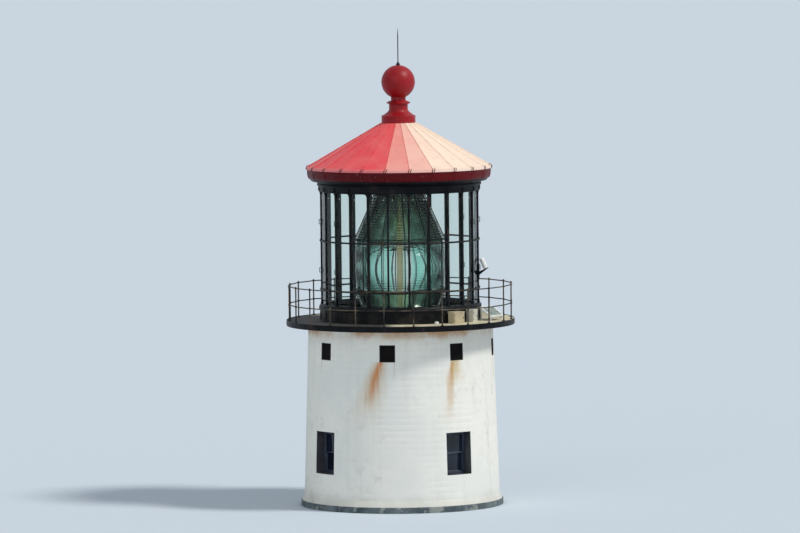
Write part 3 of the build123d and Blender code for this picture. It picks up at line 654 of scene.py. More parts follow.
# Painted shadow: a ragged sector of the deck's top on the front left is painted near black, where the
# lantern's shadow falls.
ragged = plus(maths("ABSOLUTE", plus(bearing, 58.0)), times(cloud(tree, 1.4, 7), 22.0))
lantern_shadow = times(ramp(ragged, 78.0, 66.0), ramp(height, deck_top - 0.03, deck_top - 0.01), 0.96)
wire(mixed(lantern_shadow, colour, tone(24, 26, 28)), shader["Base Color"])
wire(bumped(cloud(tree, 30, 6), 0.004), shader["Normal"])

drip_groove = [(-0.030, 0), (-0.026, 0.006), (-0.018, 0.006), (-0.014, 0), (-0.002, 0)]
deck_outline = [(deck_bore, deck_low), *moved(drip_groove, deck_radius, deck_low),
                *moved([(-0.002, -0.010), (-0.010, -0.002)], deck_radius, deck_top), (2.60, deck_top),
                (deck_bore, deck_top)]
loops = []
for bay in range(bay_count):
    start = radians((bay + 0.5) * bay_angle)
    turns = [start - deck_joint, start, start + deck_joint]
    for turn in turns + [start + radians(bay_angle) * step / 8 for step in range(1, 8)]:
        sunk = joint_sunk if turn == start else 0
        loops.append([(radius * sin(turn), -radius * cos(turn), height - sunk * (height > deck_top - 0.02))
                      for radius, height in deck_outline])
piece("deck_slab", Shape().ring(loops), [deck_paint], ["gallery_deck"])

# Iron paint: black, chalky where the sun reaches, and bleeding rust in spots and down its faces
iron_finish, given, result = effect(
    "Iron finish", {"Colour": tone(9, 11, 14), "Chalk": tone(63, 66, 70), "Rust Amount": 0.5},
    "Colour", "Roughness", "Height")
blots, pits = cloud(iron_finish, 2.1, 7), cloud(iron_finish, 38, 6)
drips = cloud(iron_finish, 7, 6, (1, 1, 0.16), 0.66)
rust = times(ramp(times(drips, blots), 0.30, 0.42), given["Rust Amount"])
chalky = mixed(ramp(blots, 0.35, 0.72), given["Colour"], given["Chalk"])
rusty = mixed(ramp(pits, 0.35, 0.65), tone(74, 36, 18), tone(132, 74, 38))
wire(mixed(rust, chalky, rusty), result["Colour"])
wire(plus(times(rust, 0.4), 0.42), result["Roughness"])
wire(plus(times(pits, 0.4), times(rust, pits)), result["Height"])


def finished(name, group, values, depth, gloss):
    """A material of a paint effect with its own values, which gives its colour, roughness and height."""
    made, tree, shader = material(name, Specular_IOR_Level=gloss)
    finish = node(tree, "ShaderNodeGroup", values, node_tree=group)
    wire(finish["Colour"], shader["Base Color"])
    wire(finish["Roughness"], shader["Roughness"])
    wire(bumped(finish["Height"], depth), shader["Normal"])
    return made


def painted_iron(name, colour, chalk, rust):
    """Painted iron with its own shades and amount of rust."""
    return finished(name, iron_finish, {"Colour": tone(*colour), "Chalk": tone(*chalk), "Rust Amount": rust},
                    0.0015, 0.12)


black_iron = painted_iron("Black painted iron", (9, 11, 14), (24, 27, 31), 0.3)
worn_iron = painted_iron("Worn black iron", (14, 15, 17), (50, 48, 45), 0.8)

plate_thickness, plate_low, plate_high = 0.012, deck_low - 0.012, deck_top + 0.012
plate_bore = deck_radius + 0.0003
plate_face = plate_bore + plate_thickness
rim = Shape().spin([(0, plate_low), (plate_thickness - 0.002, plate_low),
                    (plate_thickness, plate_low + 0.002), (plate_thickness, plate_high - 0.002),
                    (plate_thickness - 0.002, plate_high), (0, plate_high)], 192, out=plate_bore)
cover = Shape().block((-0.055, -0.004, plate_low + 0.004), (0.055, 0.006, plate_high - 0.004), bevel=0.002)
cover.studs((-0.030, 0.030), (plate_low + 0.040, (plate_low + plate_high) / 2, plate_high - 0.040),
            0, -0.011, 0.011)
rim.around(cover, 8, bay_angle / 2, plate_face)
rivets = Shape().studs([0], (deck_low + 0.045, deck_top - 0.045), 0, -0.009, 0.011, 8)
piece("rim_plate", rim.around(rivets, 72, 2.5, plate_face), [black_iron], ["gallery_edge"])

# Railing. Iron posts are screwed to the deck on round flanges, and two pipe rails pass through ball
# fittings on them. The paint is thin and rusty.
post_circle, post_radius, post_tall = 3.570, 0.024, 1.150
rail_radius, rail_levels, rail_sag, fitting_radius, screw_circle = 0.020, (0.510, 1.100), 0.004, 0.038, 0.048
rail_paint = painted_iron("Weathered railing paint", (30, 29, 29), (104, 96, 82), 0.9)


def arc(radius, height, across, rise, turns):
    """Points of an outline on an ellipse about (radius, height), at turns in degrees from its side."""
    return [(radius + across * cos(radians(turn)), height + rise * sin(radians(turn))) for turn in turns]


post = Shape()
for radius, low, high in ((0.062, 0, 0.010), (0.036, 0.010, 0.034)):
    post.spin([(0, low), (radius, low), (radius, high - 0.003), (radius - 0.003, high), (0, high)], 16)
post.spin([(0, 0), (post_radius * 0.9, 0), (post_radius * 0.9, post_tall - 0.020),
           (post_radius * 0.75, post_tall - 0.006), (post_radius * 0.4, post_tall), (0, post_tall)], 14)
for level in rail_levels:
    post.spin(arc(0, 0, fitting_radius, fitting_radius, range(-90, 91, 20)), 14, up=level)
for x, y in arc(0, 0, screw_circle, screw_circle, (45, 135, 225, 315)):
    post.tube([(x, y, 0.008), (x, y, 0.018)], 0.007, 6)
piece("railing_posts", Shape().around(post, bay_count, 0, post_circle, deck_top), [rail_paint],
      ["rail_posts"], 40)

rail_run = Shape()
rail_half = post_circle * sin(half_bay) - rail_radius
for level in rail_levels:
    rail_run.tube([(x * rail_half, 0, level - rail_sag * (1 - x * x)) for x in (-1, -0.5, 0, 0.5, 1)],
                  rail_radius * 0.92, 14)
piece("pipe_rails", Shape().around(rail_run, bay_count, bay_angle / 2, post_circle * cos(half_bay), deck_top),
      [rail_paint], ["gallery_rails"], 40)

# Lantern floor and parapet. A cast iron floor plate with a raised tread carries a low wall of cast
# panels, one to a bay, bolted together through covered joints at the corners.
lantern_floor_top = deck_top + 0.020
parapet_radius, parapet_thickness, parapet_tall = 2.580, 0.040, 0.350
panel_recess, panel_frame_width, panel_frame_rise = 0.014, 0.087, 0.060
parapet_face, parapet_half = parapet_radius * cos(half_bay), parapet_radius * sin(half_bay)
panel_middle = deck_top + parapet_tall / 2
sill_low = deck_top + parapet_tall

floor_iron, tree, shader = material("Tread plate", 0.55, Metallic=0.5)
wire(weathered(tree, (38, 38, 40), (64, 60, 56), (104, 60, 34), 1.6, 0.8, 0.8), shader["Base Color"])
tread = node(tree, "ShaderNodeTexVoronoi", {"Vector": spot(tree), "Scale": 26.0},
             feature="DISTANCE_TO_EDGE")[0]
wire(bumped(ramp(tread, 0.05, 0.16), 0.003), shader["Normal"])
refinish("lantern_floor", floor_iron)

parapet = Shape().spin([(-parapet_thickness, 0), (-panel_recess, 0), (-panel_recess, parapet_tall),
                        (-parapet_thickness, parapet_tall)], bay_count, up=deck_top, out=parapet_radius)
panel = Shape().border(parapet_half, parapet_tall / 2, panel_middle,
                       [(0, 0), (panel_frame_rise - 0.006, 0), (panel_frame_rise, 0.005),
                        (panel_frame_rise + 0.002, panel_recess), (0, panel_recess)],
                       panel_frame_width / panel_frame_rise)
panel.border(parapet_half - panel_frame_width - 0.030, parapet_tall / 2 - panel_frame_rise - 0.030,
             panel_middle, [(0, panel_recess), (0.003, panel_recess - 0.005), (0.009, panel_recess - 0.005),
                            (0.012, panel_recess)])
panel.studs((-parapet_half + 0.045, parapet_half - 0.045),
            [deck_top + 0.045 + step * 0.065 for step in range(5)], 0.001, -0.007, 0.009, 8)
panel.block((-parapet_half, -0.010, deck_top), (parapet_half, 0.002, deck_top + 0.016), bevel=0.003)
corner_strip = Shape().block((-0.026, -0.002, deck_top + 0.002), (0.026, 0.012, sill_low - 0.001),
                             bevel=0.004)
parapet.around(panel, bay_count, bay_angle / 2, parapet_face)
parapet.around(corner_strip, bay_count, 0, parapet_radius)
piece("parapet_wall", parapet, [worn_iron], ["lantern_parapet"])

# Sill. A heavy moulded casting on the parapet, in one length to a bay with bolted flanges between,
# that sheds water outwards and takes the feet of the mullions.
sill_radius, sill_tall, ring_bore = 2.600, 0.180, 2.400
sill_top = sill_low + sill_tall
sill = Shape().spin([(ring_bore - sill_radius, 0), (-0.012, 0), (0, 0.012), (0, 0.110), (-0.006, 0.124),
                     (-0.016, 0.130), (-0.020, 0.140), (-0.046, sill_tall - 0.004), (-0.052, sill_tall),
                     (ring_bore - sill_radius, sill_tall)], bay_count, up=sill_low, out=sill_radius)
flange = Shape().block((-0.030, -0.006, 0.014), (0.030, 0.010, 0.106), bevel=0.003)
flange.studs((-0.016, 0.016), (0.034, 0.086), 0, -0.013, 0.008)
piece("sill_castings", sill.around(flange, bay_count, 0, sill_radius, sill_low), [black_iron],
      ["lantern_sill"])

# Mullions. A rolled bar with a deep web stands at each corner, with a screwed cover strip that clamps
# the glass, a cast shoe at its foot and its head, and hand-holds for whoever cleans the panes.
glazing_tall, mullion_face, ring_levels = 3.580, 2.544, (0.470, 2.020)
cover_half, web_half, mullion_depth, shoe_tall = 0.032, 0.012, 0.150, 0.075
screw_first, screw_pitch, screw_count, hold_levels, hold_half = 0.170, 0.230, 15, (7.540, 9.080), 0.070
head_low = sill_top + glazing_tall

bar_half_outline = [(cover_half - 0.006, 0), (cover_half, 0.005), (cover_half, 0.015), (web_half, 0.018),
                    (web_half, mullion_depth - 0.003), (web_half - 0.003, mullion_depth)]
bar_outline = bar_half_outline + [(-x, y) for x, y in reversed(bar_half_outline)]
bar = Shape().skin([[(x, y, level) for x, y in bar_outline] for level in (0, glazing_tall)])
for level in (0, glazing_tall - shoe_tall):
    bar.block((-0.047, -0.009, level), (0.047, 0.040, level + shoe_tall), bevel=0.005)
    bar.studs((-0.028, 0.028), [level + 0.038], 0, -0.016, 0.009)
screws = [screw_first + step * screw_pitch for step in range(screw_count)]
bar.studs([0], [level for level in screws if min(abs(level - ring) for ring in ring_levels) > 0.06],
          0.001, -0.0035, 0.0075, 8)
hold = Shape()
for level in hold_levels:
    hold.tube([(0, y, level + rise) for y, rise in ((0.004, -hold_half), (-0.038, -hold_half),
                                                    (-0.038, hold_half), (0.004, hold_half))], 0.010, 8)
    hold.studs([0], (level - hold_half, level + hold_half), 0.002, -0.007, 0.021, 10)
bars = Shape().around(bar, bay_count, 0, mullion_face, sill_top)
piece("glazing_bars", bars.around(hold, bay_count // 2, bay_angle, mullion_face), [black_iron], ["mullions"])

# Glazing rings. Two tee-section rings cross the mullions between the three rows of panes, lapped and
# bolted at each mullion.
ring_seat = mullion_face + cover_half * tan(half_bay) + 0.0003
ring_half, ring_proud, ring_web, ring_deep = 0.028, 0.016, 0.009, 0.075
tee = [(0, -ring_half), (ring_proud - 0.004, -ring_half), (ring_proud, -ring_half + 0.005),
       (ring_proud, ring_half - 0.005), (ring_proud - 0.004, ring_half), (0, ring_half),
       (0, ring_web), (-ring_deep, ring_web), (-ring_deep, -ring_web), (0, -ring_web)]
lap = Shape().block((-0.045, -0.005, -ring_half + 0.003), (0.045, 0.012, ring_half - 0.003), bevel=0.003)
lap.studs((-0.026, 0.026), [0], 0, -0.012, 0.008)
rings = Shape()
for level in ring_levels:
    rings.spin(tee, bay_count, up=sill_top + level, out=ring_seat)
    rings.around(lap, bay_count, 0, ring_seat + ring_proud, sill_top + level)
piece("glazing_belts", rings, [worn_iron], ["glazing_rings"])

# Lantern glass. Three rows of thick plate, puttied in, very slightly green and streaked with salt. The
# pane corners are rounded by cast gussets, and each pane has two small hooks for the day curtains.
pane_face = 2.500
lantern_pane, tree, shader = material("Lantern plate glass", 0.0, Transmission_Weight=1.0, IOR=1.2,
                                      Base_Color=(0.90, 0.955, 0.925, 1.0))
wire(times(ramp(cloud(tree, 5.0, 8, (1, 1, 0.35)), 0.45, 0.85), 0.03), shader["Roughness"])


def clear_to_shadows(tree, tint):
    """Let light through a glass to what it covers, tinted, so that the room behind it is lit."""
    glass = tree.nodes["Principled BSDF"].outputs[0]
    through = node(tree, "ShaderNodeBsdfTransparent", {"Color": tint})[0]
    shadow = node(tree, "ShaderNodeLightPath", {})["Is Shadow Ray"]
    blend = node(tree, "ShaderNodeMixShader", {0: shadow, 1: glass, 2: through})[0]
    wire(blend, tree.nodes["Material Output"].inputs["Surface"])


clear_to_shadows(tree, (0.93, 0.96, 0.95, 1.0))
refinish("lantern_glass", lantern_pane)

gusset_edge, gusset_back, hook_x, hook_drop = 0.302, 0.324, 0.180, 0.175
gusset = Shape()
for side in (-1, 1):
    for corner, drop, radius in ((head_low, 1, 0.118), (sill_top, -1, 0.070)):
        curve = arc(gusset_edge - radius, radius, radius, -radius, range(0, 91, 10))
        outline = [(gusset_back, 0), (gusset_back, radius), *curve]
        gusset.plate([(side * x, corner - drop * depth) for x, depth in outline], -0.012, -0.002)
for back, front, radius, sides in ((0.014, 0.040, 0.006, 8), (0.034, 0.042, 0.014, 12)):
    gusset.studs((-hook_x, hook_x), [head_low - hook_drop], back, front, radius, sides, 1)
hook_enamel = coat("Hook enamel", 0.3, ((240, 240, 234), (214, 212, 202), (90, 66, 44)), (6.0, 0.5, 0.5))
piece("pane_gussets", Shape().around(gusset, bay_count, bay_angle / 2, pane_face), [black_iron, hook_enamel],
      ())

# Lantern head. A deep moulded ring bolted to the heads of the mullions, with a frieze between two
# projecting fillets.
ring_head = Shape().spin(
    [(ring_bore, 0), (2.575, 0), (2.590, 0.008), (2.590, 0.034), (2.582, 0.044), (2.578, 0.090),
     (2.586, 0.102), (2.590, 0.160), (2.604, 0.184), (2.632, 0.196), (2.640, 0.206), (2.640, 0.246),
     (2.632, 0.256), (2.612, 0.266), (2.612, 0.290), (ring_bore, 0.290)], bay_count, up=head_low)
boss = Shape().block((-0.034, -2.600, 0.046), (0.034, -2.570, 0.158), bevel=0.005)
boss.studs([0], (0.075, 0.130), -2.596, -2.610, 0.010)
piece("head_castings", ring_head.around(boss, bay_count, 0, 0, head_low), [black_iron], ["lantern_head"])

# Cornice. Pressed iron sheet between the head and the eave, in a hollow and a round, one length to a bay. Its
# hollow takes the head's black as painted shade under the round, and its round is red, made darker than the
# roof as painted shade.
cornice_low = head_low + 0.290
roof_low = cornice_low + 0.476
roof_radius = 2.958
glare_and_fade_bearing = 84.0              # the side on which the red paint is paled most, by real fading and by a painted highlight of the sun's glare


def sector(tree, width, seed):
    """The middle bearing of the sector that a point is in, in degrees, and a chance value for the sector."""
    number = maths("FLOOR", maths("DIVIDE", tower_place(tree)[0], width))
    chance = node(tree, "ShaderNodeTexWhiteNoise", {"W": plus(number, seed)}, noise_dimensions="1D")["Value"]
    return times(plus(number, 0.5), width), chance


# Red paint: paled sheet by sheet towards one bearing, partly real sun fading and partly a painted highlight
# of sun glare, with chips and soot
red_finish, given, result = effect(
    "Red finish", {"Fresh": tone(140, 5, 18), "Faded": tone(228, 70, 78), "Fade": 0.3},
    "Colour", "Roughness", "Height")
sheet_bearing, shade = sector(red_finish, bay_angle, 0.0)
toward_glare_side = maths("COSINE", maths("RADIANS", maths("SUBTRACT", sheet_bearing, glare_and_fade_bearing)))
glare_and_fade = maths("ADD", times(toward_glare_side, 1.2), 0.01, True)
worn = times(ramp(cloud(red_finish, 1.3, 7), 0.32, 0.74), 0.10)
amount = maths("MULTIPLY", given["Fade"], plus(plus(glare_and_fade, worn), times(shade, 0.07)), True)
chips = times(ramp(cloud(red_finish, 17, 9, (1, 1, 1), 0.72), 0.62, 0.70), 0.7)
colour = mixed(chips, mixed(amount, given["Fresh"], given["Faded"]), tone(232, 206, 186))
soot = times(ramp(cloud(red_finish, 4.5, 7, (1, 1, 0.4)), 0.5, 0.8), 0.14)
wire(mixed(soot, colour, tone(96, 34, 34)), result["Colour"])
wire(plus(times(worn, 0.6), 0.40), result["Roughness"])
wire(plus(cloud(red_finish, 22, 5), times(chips, -1.0)), result["Height"])


def red_paint(name, fresh, faded, fade, gloss=0.15):
    """Red gloss paint on sheet iron, paled on the side that the sun reaches, partly by real fading and partly
    by a painted highlight of the sun's glare.
    """
    values = {"Fresh": tone(*fresh), "Faded": tone(*faded), "Fade": fade}
    return finished(name, red_finish, values, 0.0012, gloss)


cornice_shaded_red = red_paint("Cornice red in painted shade", (84, 0, 8), (114, 8, 16), 0.35)
roof_red = red_paint("Roof red", (228, 70, 78), (246, 222, 200), 1.0)
ball_red = red_paint("Ventilator red", (140, 5, 18), (172, 36, 42), 0.4, 0.28)

cornice_sheet = 0.030
hollow = [(2.644, 0), (2.652, 0.006), (2.672, 0.014), *arc(2.672, 0.104, 0.178, 0.090, (-60, -30, 0)),
          (2.862, 0.116)]
swelling = [(2.862, 0.116), (2.874, 0.122), *arc(2.874, 0.320, 0.068, 0.198, (-70, -45, -20, 0)),
            (2.956, 0.344), (2.956, 0.476)]
cornice = Shape()
# The hollow's black finish is painted shade.
for outline, finish in ((hollow, 1), (swelling, 0)):
    back = [(radius - cornice_sheet, height) for radius, height in reversed(outline)]
    cornice.spin(outline + back, bay_count, finish, up=cornice_low)
cover_strip = Shape().tube([(0, -radius - 0.001, height) for radius, height in swelling[1:-1]], 0.007, 8)
piece("cornice_sheets", cornice.around(cover_strip, bay_count, 0, 0, cornice_low), [cornice_shaded_red, black_iron],
      ["roof_cornice"])

# Roof. Twenty-four sheets of iron, slightly buckled, from the eave to the ventilator's collar, joined
# at the hips over rolls that small clips hold down.
roof_rise, crown_radius, roof_sheet = 1.400, 0.540, 0.014
roof_crown = roof_low + roof_rise
slope = roof_rise / (roof_radius - crown_radius)
columns, rows, buckle, dish = 8, 22, 0.006, 0.004
roof = Shape()
for bay in range(bay_count):
    start, end = radians(bay * bay_angle), radians((bay + 1) * bay_angle)
    grid = []
    for row in range(rows + 1):
        share, line = row / rows, []
        radius = roof_radius + (crown_radius - roof_radius) * share
        for column in range(columns + 1):
            across = column / columns
            x = radius * (sin(start) * (1 - across) + sin(end) * across)
            y = -radius * (cos(start) * (1 - across) + cos(end) * across)
            loose = 16 * across * (1 - across) * share * (1 - share)
            wave = loose * noise.noise(Vector((x * 1.7, y * 1.7, bay * 3.3)))
            line.append((x, y, roof_low + roof_rise * share + buckle * wave - dish * min(1.0, loose)))
        grid.append(line)
    roof.sheet(grid)
under_radius = roof_radius - roof_sheet / slope
roof.spin([(under_radius, 0), (crown_radius, roof_rise - roof_sheet),
           (crown_radius + 0.004, roof_rise - roof_sheet), (under_radius + 0.004, 0)], bay_count, up=roof_low)
piece("roof_flats", roof, [roof_red], ["roof_sheets"], 12)

roll_radius, roll_lift, roll_end = 0.010, 0.006, 0.030
roll = Shape().tube([(0, -radius, roof_crown + (crown_radius - radius) * slope + roll_lift)
                     for radius in (crown_radius + roll_end, (crown_radius + roof_radius) / 2,
                                    roof_radius - roll_end)],
                    roll_radius, 10)
for step in range(9):
    share = (step + 0.7) / 9.4
    radius = crown_radius + (roof_radius - crown_radius) * share
    height = roof_crown - roof_rise * share
    roll.block((-0.019, -radius - 0.012, height + 0.002), (0.019, -radius + 0.012, height + 0.021),
               bevel=0.003)
piece("hip_rolls", Shape().around(roll, bay_count), [roof_red], ["roof_seams"], 35)

# Eave. A rolled lip of sheet iron stands along the roof's edge as a gutter, in one length to a bay, and iron
# straps hold it down at each hip. The whole lip is a paler red than the roof, partly weathered paint and
# partly a painted highlight of the light on its upper side.
lip_proud = 0.027
lip_paint_and_highlight = red_paint("Eave lip paint with painted highlight", (232, 118, 120), (246, 222, 204), 0.9)
eave = Shape().spin([(-0.004, -0.060), (lip_proud - 0.006, -0.060), (lip_proud, -0.054), (lip_proud, -0.030),
                     (lip_proud - 0.004, -0.026), *arc(-0.008, 0.008, 0.032, 0.034, range(-30, 181, 30))],
                    bay_count, up=roof_low, out=roof_radius)
strap_iron = painted_iron("Eave strap iron", (52, 20, 22), (96, 44, 40), 0.6)
strap, strap_half, strap_thick, strap_slant = Shape(), 0.011, 0.010, 0.35
strap_line = ((lip_proud + 0.005, -0.058), (lip_proud + 0.006, -0.024), (lip_proud + 0.001, 0.014),
              (0.008, 0.046), (-0.030, 0.060), (-0.075, 0.052))
for lean in (-0.038, 0.030):
    strap.skin([[(x + lean + height * strap_slant, y - out, height)
                 for x, y in ((-strap_half, 0), (strap_half, 0), (strap_half, strap_thick),
                              (-strap_half, strap_thick))]
                for out, height in strap_line], 1)
piece("eave_lip", eave.around(strap, bay_count, 0, roof_radius, roof_low), [lip_paint_and_highlight, strap_iron],
      ["eave_fascia"], 35)

# Ventilator. A spun collar, throat and bead carry a hollow ball, which draws stale air out of the
# lantern. All are painted red, and the ball is made of two spun halves with a soldered seam.
collar_tall, collar_step, neck_radius = 0.220, 0.060, 0.300
throat_low, throat_high = collar_tall + collar_step / 2, 0.440
bead_radius, bead_low, bead_high, seat_radius = 0.380, 0.600, 0.710, 0.235
ball_radius, ball_rise = 0.536, 1.300
ball_middle = roof_crown + ball_rise
seat_rise = ball_rise - sqrt(ball_radius ** 2 - seat_radius ** 2) + 0.004
neck_outline = [(0, 0), *moved([(0, 0), (0.006, 0.010), (0.006, 0.030), (0, 0.038)], crown_radius),
                *moved([(0, -0.030), (0.007, -0.022), (0.007, -0.004), (0, 0.004)],
                       crown_radius, collar_tall),
                (crown_radius - collar_step, throat_low)]
neck_outline += [(neck_radius + (crown_radius - collar_step - neck_radius) * (1 - sin(radians(9 * step))),
                  throat_low + (throat_high - throat_low) * step / 10) for step in range(1, 11)]
neck_outline += [(neck_radius, bead_low - 0.012), (neck_radius + 0.010, bead_low),
                 *arc(neck_radius + 0.02, bead_low + 0.036, bead_radius - neck_radius - 0.02, 0.030,
                      range(-75, 46, 20)),
                 *moved([(0.055, -0.016), (0.004, 0), (0, 0.010)], seat_radius, bead_high),
                 (seat_radius, seat_rise), (0, seat_rise)]
piece("vent_neck", Shape().spin(neck_outline, up=roof_crown), [ball_red], ["ventilator_base"],
      32)

seam_half, seam_swell = 1.6, 0.004
ball_outline = []
for step in range(49):
    turn = -64 + 147 * step / 48
    swollen = ball_radius + (seam_swell if abs(turn) < seam_half else 0)
    ball_outline += arc(0, 0, swollen, swollen, [turn])
ball = Shape().spin([(0, ball_outline[0][1]), *ball_outline, (0, ball_outline[-1][1])], up=ball_middle)
piece("vent_ball", ball, [ball_red], ["ventilator_ball"], 40)

# Rod. A drawn rod with a tapered tip, to take lightning. It stands in a turned socket on top of the
# ball, and both have gone dull and brown.
knob_radius, rod_radius, rod_tall = 0.062, 0.022, 1.170
rod_foot = ball_middle + sqrt(ball_radius ** 2 - knob_radius ** 2)
rod_outline = [(0, -0.004), (knob_radius, -0.004), (knob_radius, 0.016)]
rod_outline += [(rod_radius + (knob_radius - rod_radius) * (0.5 + 0.5 * cos(radians(turn))),
                 0.030 + 0.075 * turn / 180)
                for turn in range(0, 181, 20)]
rod_outline += [(rod_radius, 0.112), (0.016, 0.118), (0.016, rod_tall - 0.22), (0.004, rod_tall - 0.002),
                (0, rod_tall)]
rod_metal = coat("Dull rod metal", 0.6, ((26, 26, 32), (48, 46, 50), (64, 44, 40)), (3.0, 0.6, 0.6),
                 (50, 5, 0.001), Metallic=0.2, Specular_IOR_Level=0.2)
piece("rod", Shape().spin(rod_outline, 20, up=rod_foot), [rod_metal], ["lightning_rod"], 40)

# Lens. Rings of cut glass in three stages round the lamp. Each ring's section is worked out, as the real
# ones are, so that light from the lamp leaves level: the belt by bending it, the rings above and below
# by turning it back inside the glass.
lens_floor = lantern_floor_top
focus = lens_floor + 1.725
lens_bottom, belt_low, belt_high, crown_low = (lens_floor + rise for rise in (0.370, 0.950, 2.500, 4.000))
foot_radius, belt_radius, crown_lens_radius = 1.200, 1.410, 0.750
lens_wall, prism_depth, band_tall = 0.120, 0.030, 0.024
glass_index = 1.5
lens_sides = 120


def lens_glass(name, clear, deep, high, soak, haze=0.0):
    """Green lens glass, cast in batches of a different depth, that lets light through to the lamp."""
    made, tree, shader = material(name, 0.0, Transmission_Weight=1.0, IOR=glass_index)
    batch = times(sector(tree, 24.0, 555.0)[1], 0.30)
    streaks = ramp(plus(cloud(tree, 3.4, 3, (1, 1, 0.02), 0.6), batch), 0.50, high)
    facing = node(tree, "ShaderNodeLayerWeight", {"Blend": 0.5})["Facing"]
    # Painted shade: the glass deepens to dark green towards the crown, under the crown's shade, and towards
    # its edges as seen, partly for the longer path through the glass and partly as painted shade on the
    # lens's sides.
    crown_shade = ramp(tower_place(tree)[1], crown_low - 1.3, crown_low + 0.3)
    thick_and_shaded = maths("MAXIMUM", times(ramp(facing, 0.13, 0.50), 0.75), crown_shade)
    wire(mixed(thick_and_shaded, mixed(streaks, clear, deep), tone(58, 84, 68)), shader["Base Color"])
    soaked = node(tree, "ShaderNodeVolumeAbsorption", {"Color": (0.15, 0.55, 0.40, 1.0), "Density": soak})[0]
    wire(soaked, tree.nodes["Material Output"].inputs["Volume"])
    wire(plus(times(ramp(cloud(tree, 9, 6), 0.5, 0.8), 0.08), haze), shader["Roughness"])
    clear_to_shadows(tree, (0.96, 0.97, 0.95, 1.0))
    return made


belt_glass = lens_glass("Belt glass", (1.0, 1.0, 1.0, 1.0), (0.72, 1.0, 0.94, 1.0), 0.74, 0.6)
prism_glass = lens_glass("Prism glass", (0.80, 0.92, 0.74, 1.0), (0.30, 0.40, 0.32, 1.0), 0.80, 2.4, 0.08)


def belt_lean(rise):
    """Inward lean, as a tangent, of the belt's outer face at a height over the focus."""
    inside = sin(atan2(rise, belt_radius - lens_wall)) / glass_index
    return glass_index * inside / (glass_index * sqrt(1 - inside ** 2) - 1)


belt_crest = belt_radius + prism_depth - 0.004
centre_half, zone_tall, zone_step, centre_parts = 0.130, 0.077, 0.004, 8
part_tall = centre_half / centre_parts
half_line, reach = [(belt_crest + 0.003, 0)], belt_crest + 0.003
for part in range(centre_parts):
    reach -= belt_lean((part + 0.5) * part_tall) * part_tall
    half_line.append((reach, (part + 1) * part_tall))
rise, half_belt = centre_half, (belt_high - belt_low) / 2
while rise + zone_tall / 2 < half_belt:
    end = min(rise + zone_tall, half_belt - 0.001)
    half_line += [(belt_crest, rise + zone_step),
                  (belt_crest - belt_lean((rise + end) / 2) * (end - rise - zone_step), end)]
    rise = end
belt_outline = [(radius, -rise) for radius, rise in reversed(half_line)] + half_line[1:]
belt_outline += [(belt_radius - lens_wall, rise), (belt_radius - lens_wall, -rise)]
piece("belt_lens", Shape().spin(belt_outline, lens_sides, up=focus), [belt_glass], ["lens_belt"],
      20)


def turning_rings(start, end, side):
    """Sections of the rings that turn light inside the glass, from (radius, rise over the focus) to an end.

    A ring's section is a triangle with two equal sides. Light comes in through its lower side, turns on
    its upper face and leaves level through its outer side.
    """
    sections = []
    (radius, rise), (end_radius, end_rise) = start, end
    lean = (end_radius - radius) / (end_rise - rise)
    while rise + side < end_rise:
        sight = atan2(rise, radius - side / 2)
        steep = radians(60)
        for step in range(30):
            steep = (sight + acos(cos(steep) / glass_index)) / 2
        fall = steep - sight
        inner = (radius - side * cos(fall), rise + side * sin(fall))
        sections.append([(radius, rise), (radius + side * cos(steep), rise + side * sin(steep)), inner])
        edge = inner[1] / inner[0]
        clear_rise = edge * (start[0] - lean * start[1]) / (1 - edge * lean)
        rise = min(clear_rise, rise + side * sin(steep)) + 0.003
        radius = start[0] + lean * (rise - start[1])
    return sections


for name, stands_for, way, first_rise, end in (
    ("upper_lens", "lens_upper_prisms", 1, belt_high + band_tall - focus,
     (crown_lens_radius - 0.006, crown_low - focus)),
    ("lower_lens", "lens_lower_prisms", -1, focus - belt_low + band_tall,
     (foot_radius - 0.030, focus - lens_bottom - 0.004)),
):
    shape = Shape()
    for section in turning_rings((belt_radius - 0.040, first_rise + 0.004), end, 0.098):
        shape.spin([(radius, way * rise) for radius, rise in section[::way]], lens_sides, up=focus)
    piece(name, shape, [prism_glass], [stands_for], 20)

# Lens frame. Cast bronze ribs and two bands, gone dark green, clasp the glass panels. Screws hold the
# ribs along their length, and the bands on both sides of each rib.
rib_out, rib_depth, rib_half, rib_arris, rib_count = prism_depth + 0.0003, 0.034, 0.013, 0.006, 12
back_half, back_depth = 0.007, 0.014
bronze = coat("Green bronze", 0.55, ((14, 26, 20), (34, 46, 36), (70, 58, 34)), (2.2, 0.8, 0.8),
              (40, 5, 0.001), Metallic=0.2, Specular_IOR_Level=0.2)

lens_frame = Shape()
band_outer, band_inner = prism_depth + rib_depth, -lens_wall
for level in (belt_low - band_tall, belt_high):
    lens_frame.spin([(band_inner, 0), (band_outer - 0.003, 0), (band_outer, 0.003),
                     (band_outer, band_tall - 0.003), (band_outer - 0.003, band_tall),
                     (band_inner, band_tall)], bay_count, up=level, out=belt_radius)
stages = ((foot_radius, lens_bottom), (belt_radius, belt_low - band_tall),
          (belt_radius, belt_high + band_tall), (crown_lens_radius, crown_low))
rib_section = [(-rib_half, 0), (-rib_half, rib_arris - rib_depth), (rib_arris - rib_half, -rib_depth),
               (rib_half - rib_arris, -rib_depth), (rib_half, rib_arris - rib_depth), (rib_half, 0)]
back_section = [(-back_half, 0), (back_half, 0), (back_half, back_depth), (-back_half, back_depth)]
rib = Shape()
for section, out in ((rib_section, rib_out), (back_section, -lens_wall)):
    rib.skin([[(x, y - radius - out, height) for x, y in section] for radius, height in stages])
band_face, rib_face = -belt_radius - prism_depth - rib_depth, -belt_radius - rib_out - rib_depth
rib.studs((-0.028, 0.028), (belt_low - band_tall / 2, belt_high + band_tall / 2),
          band_face, band_face - 0.007, 0.008)
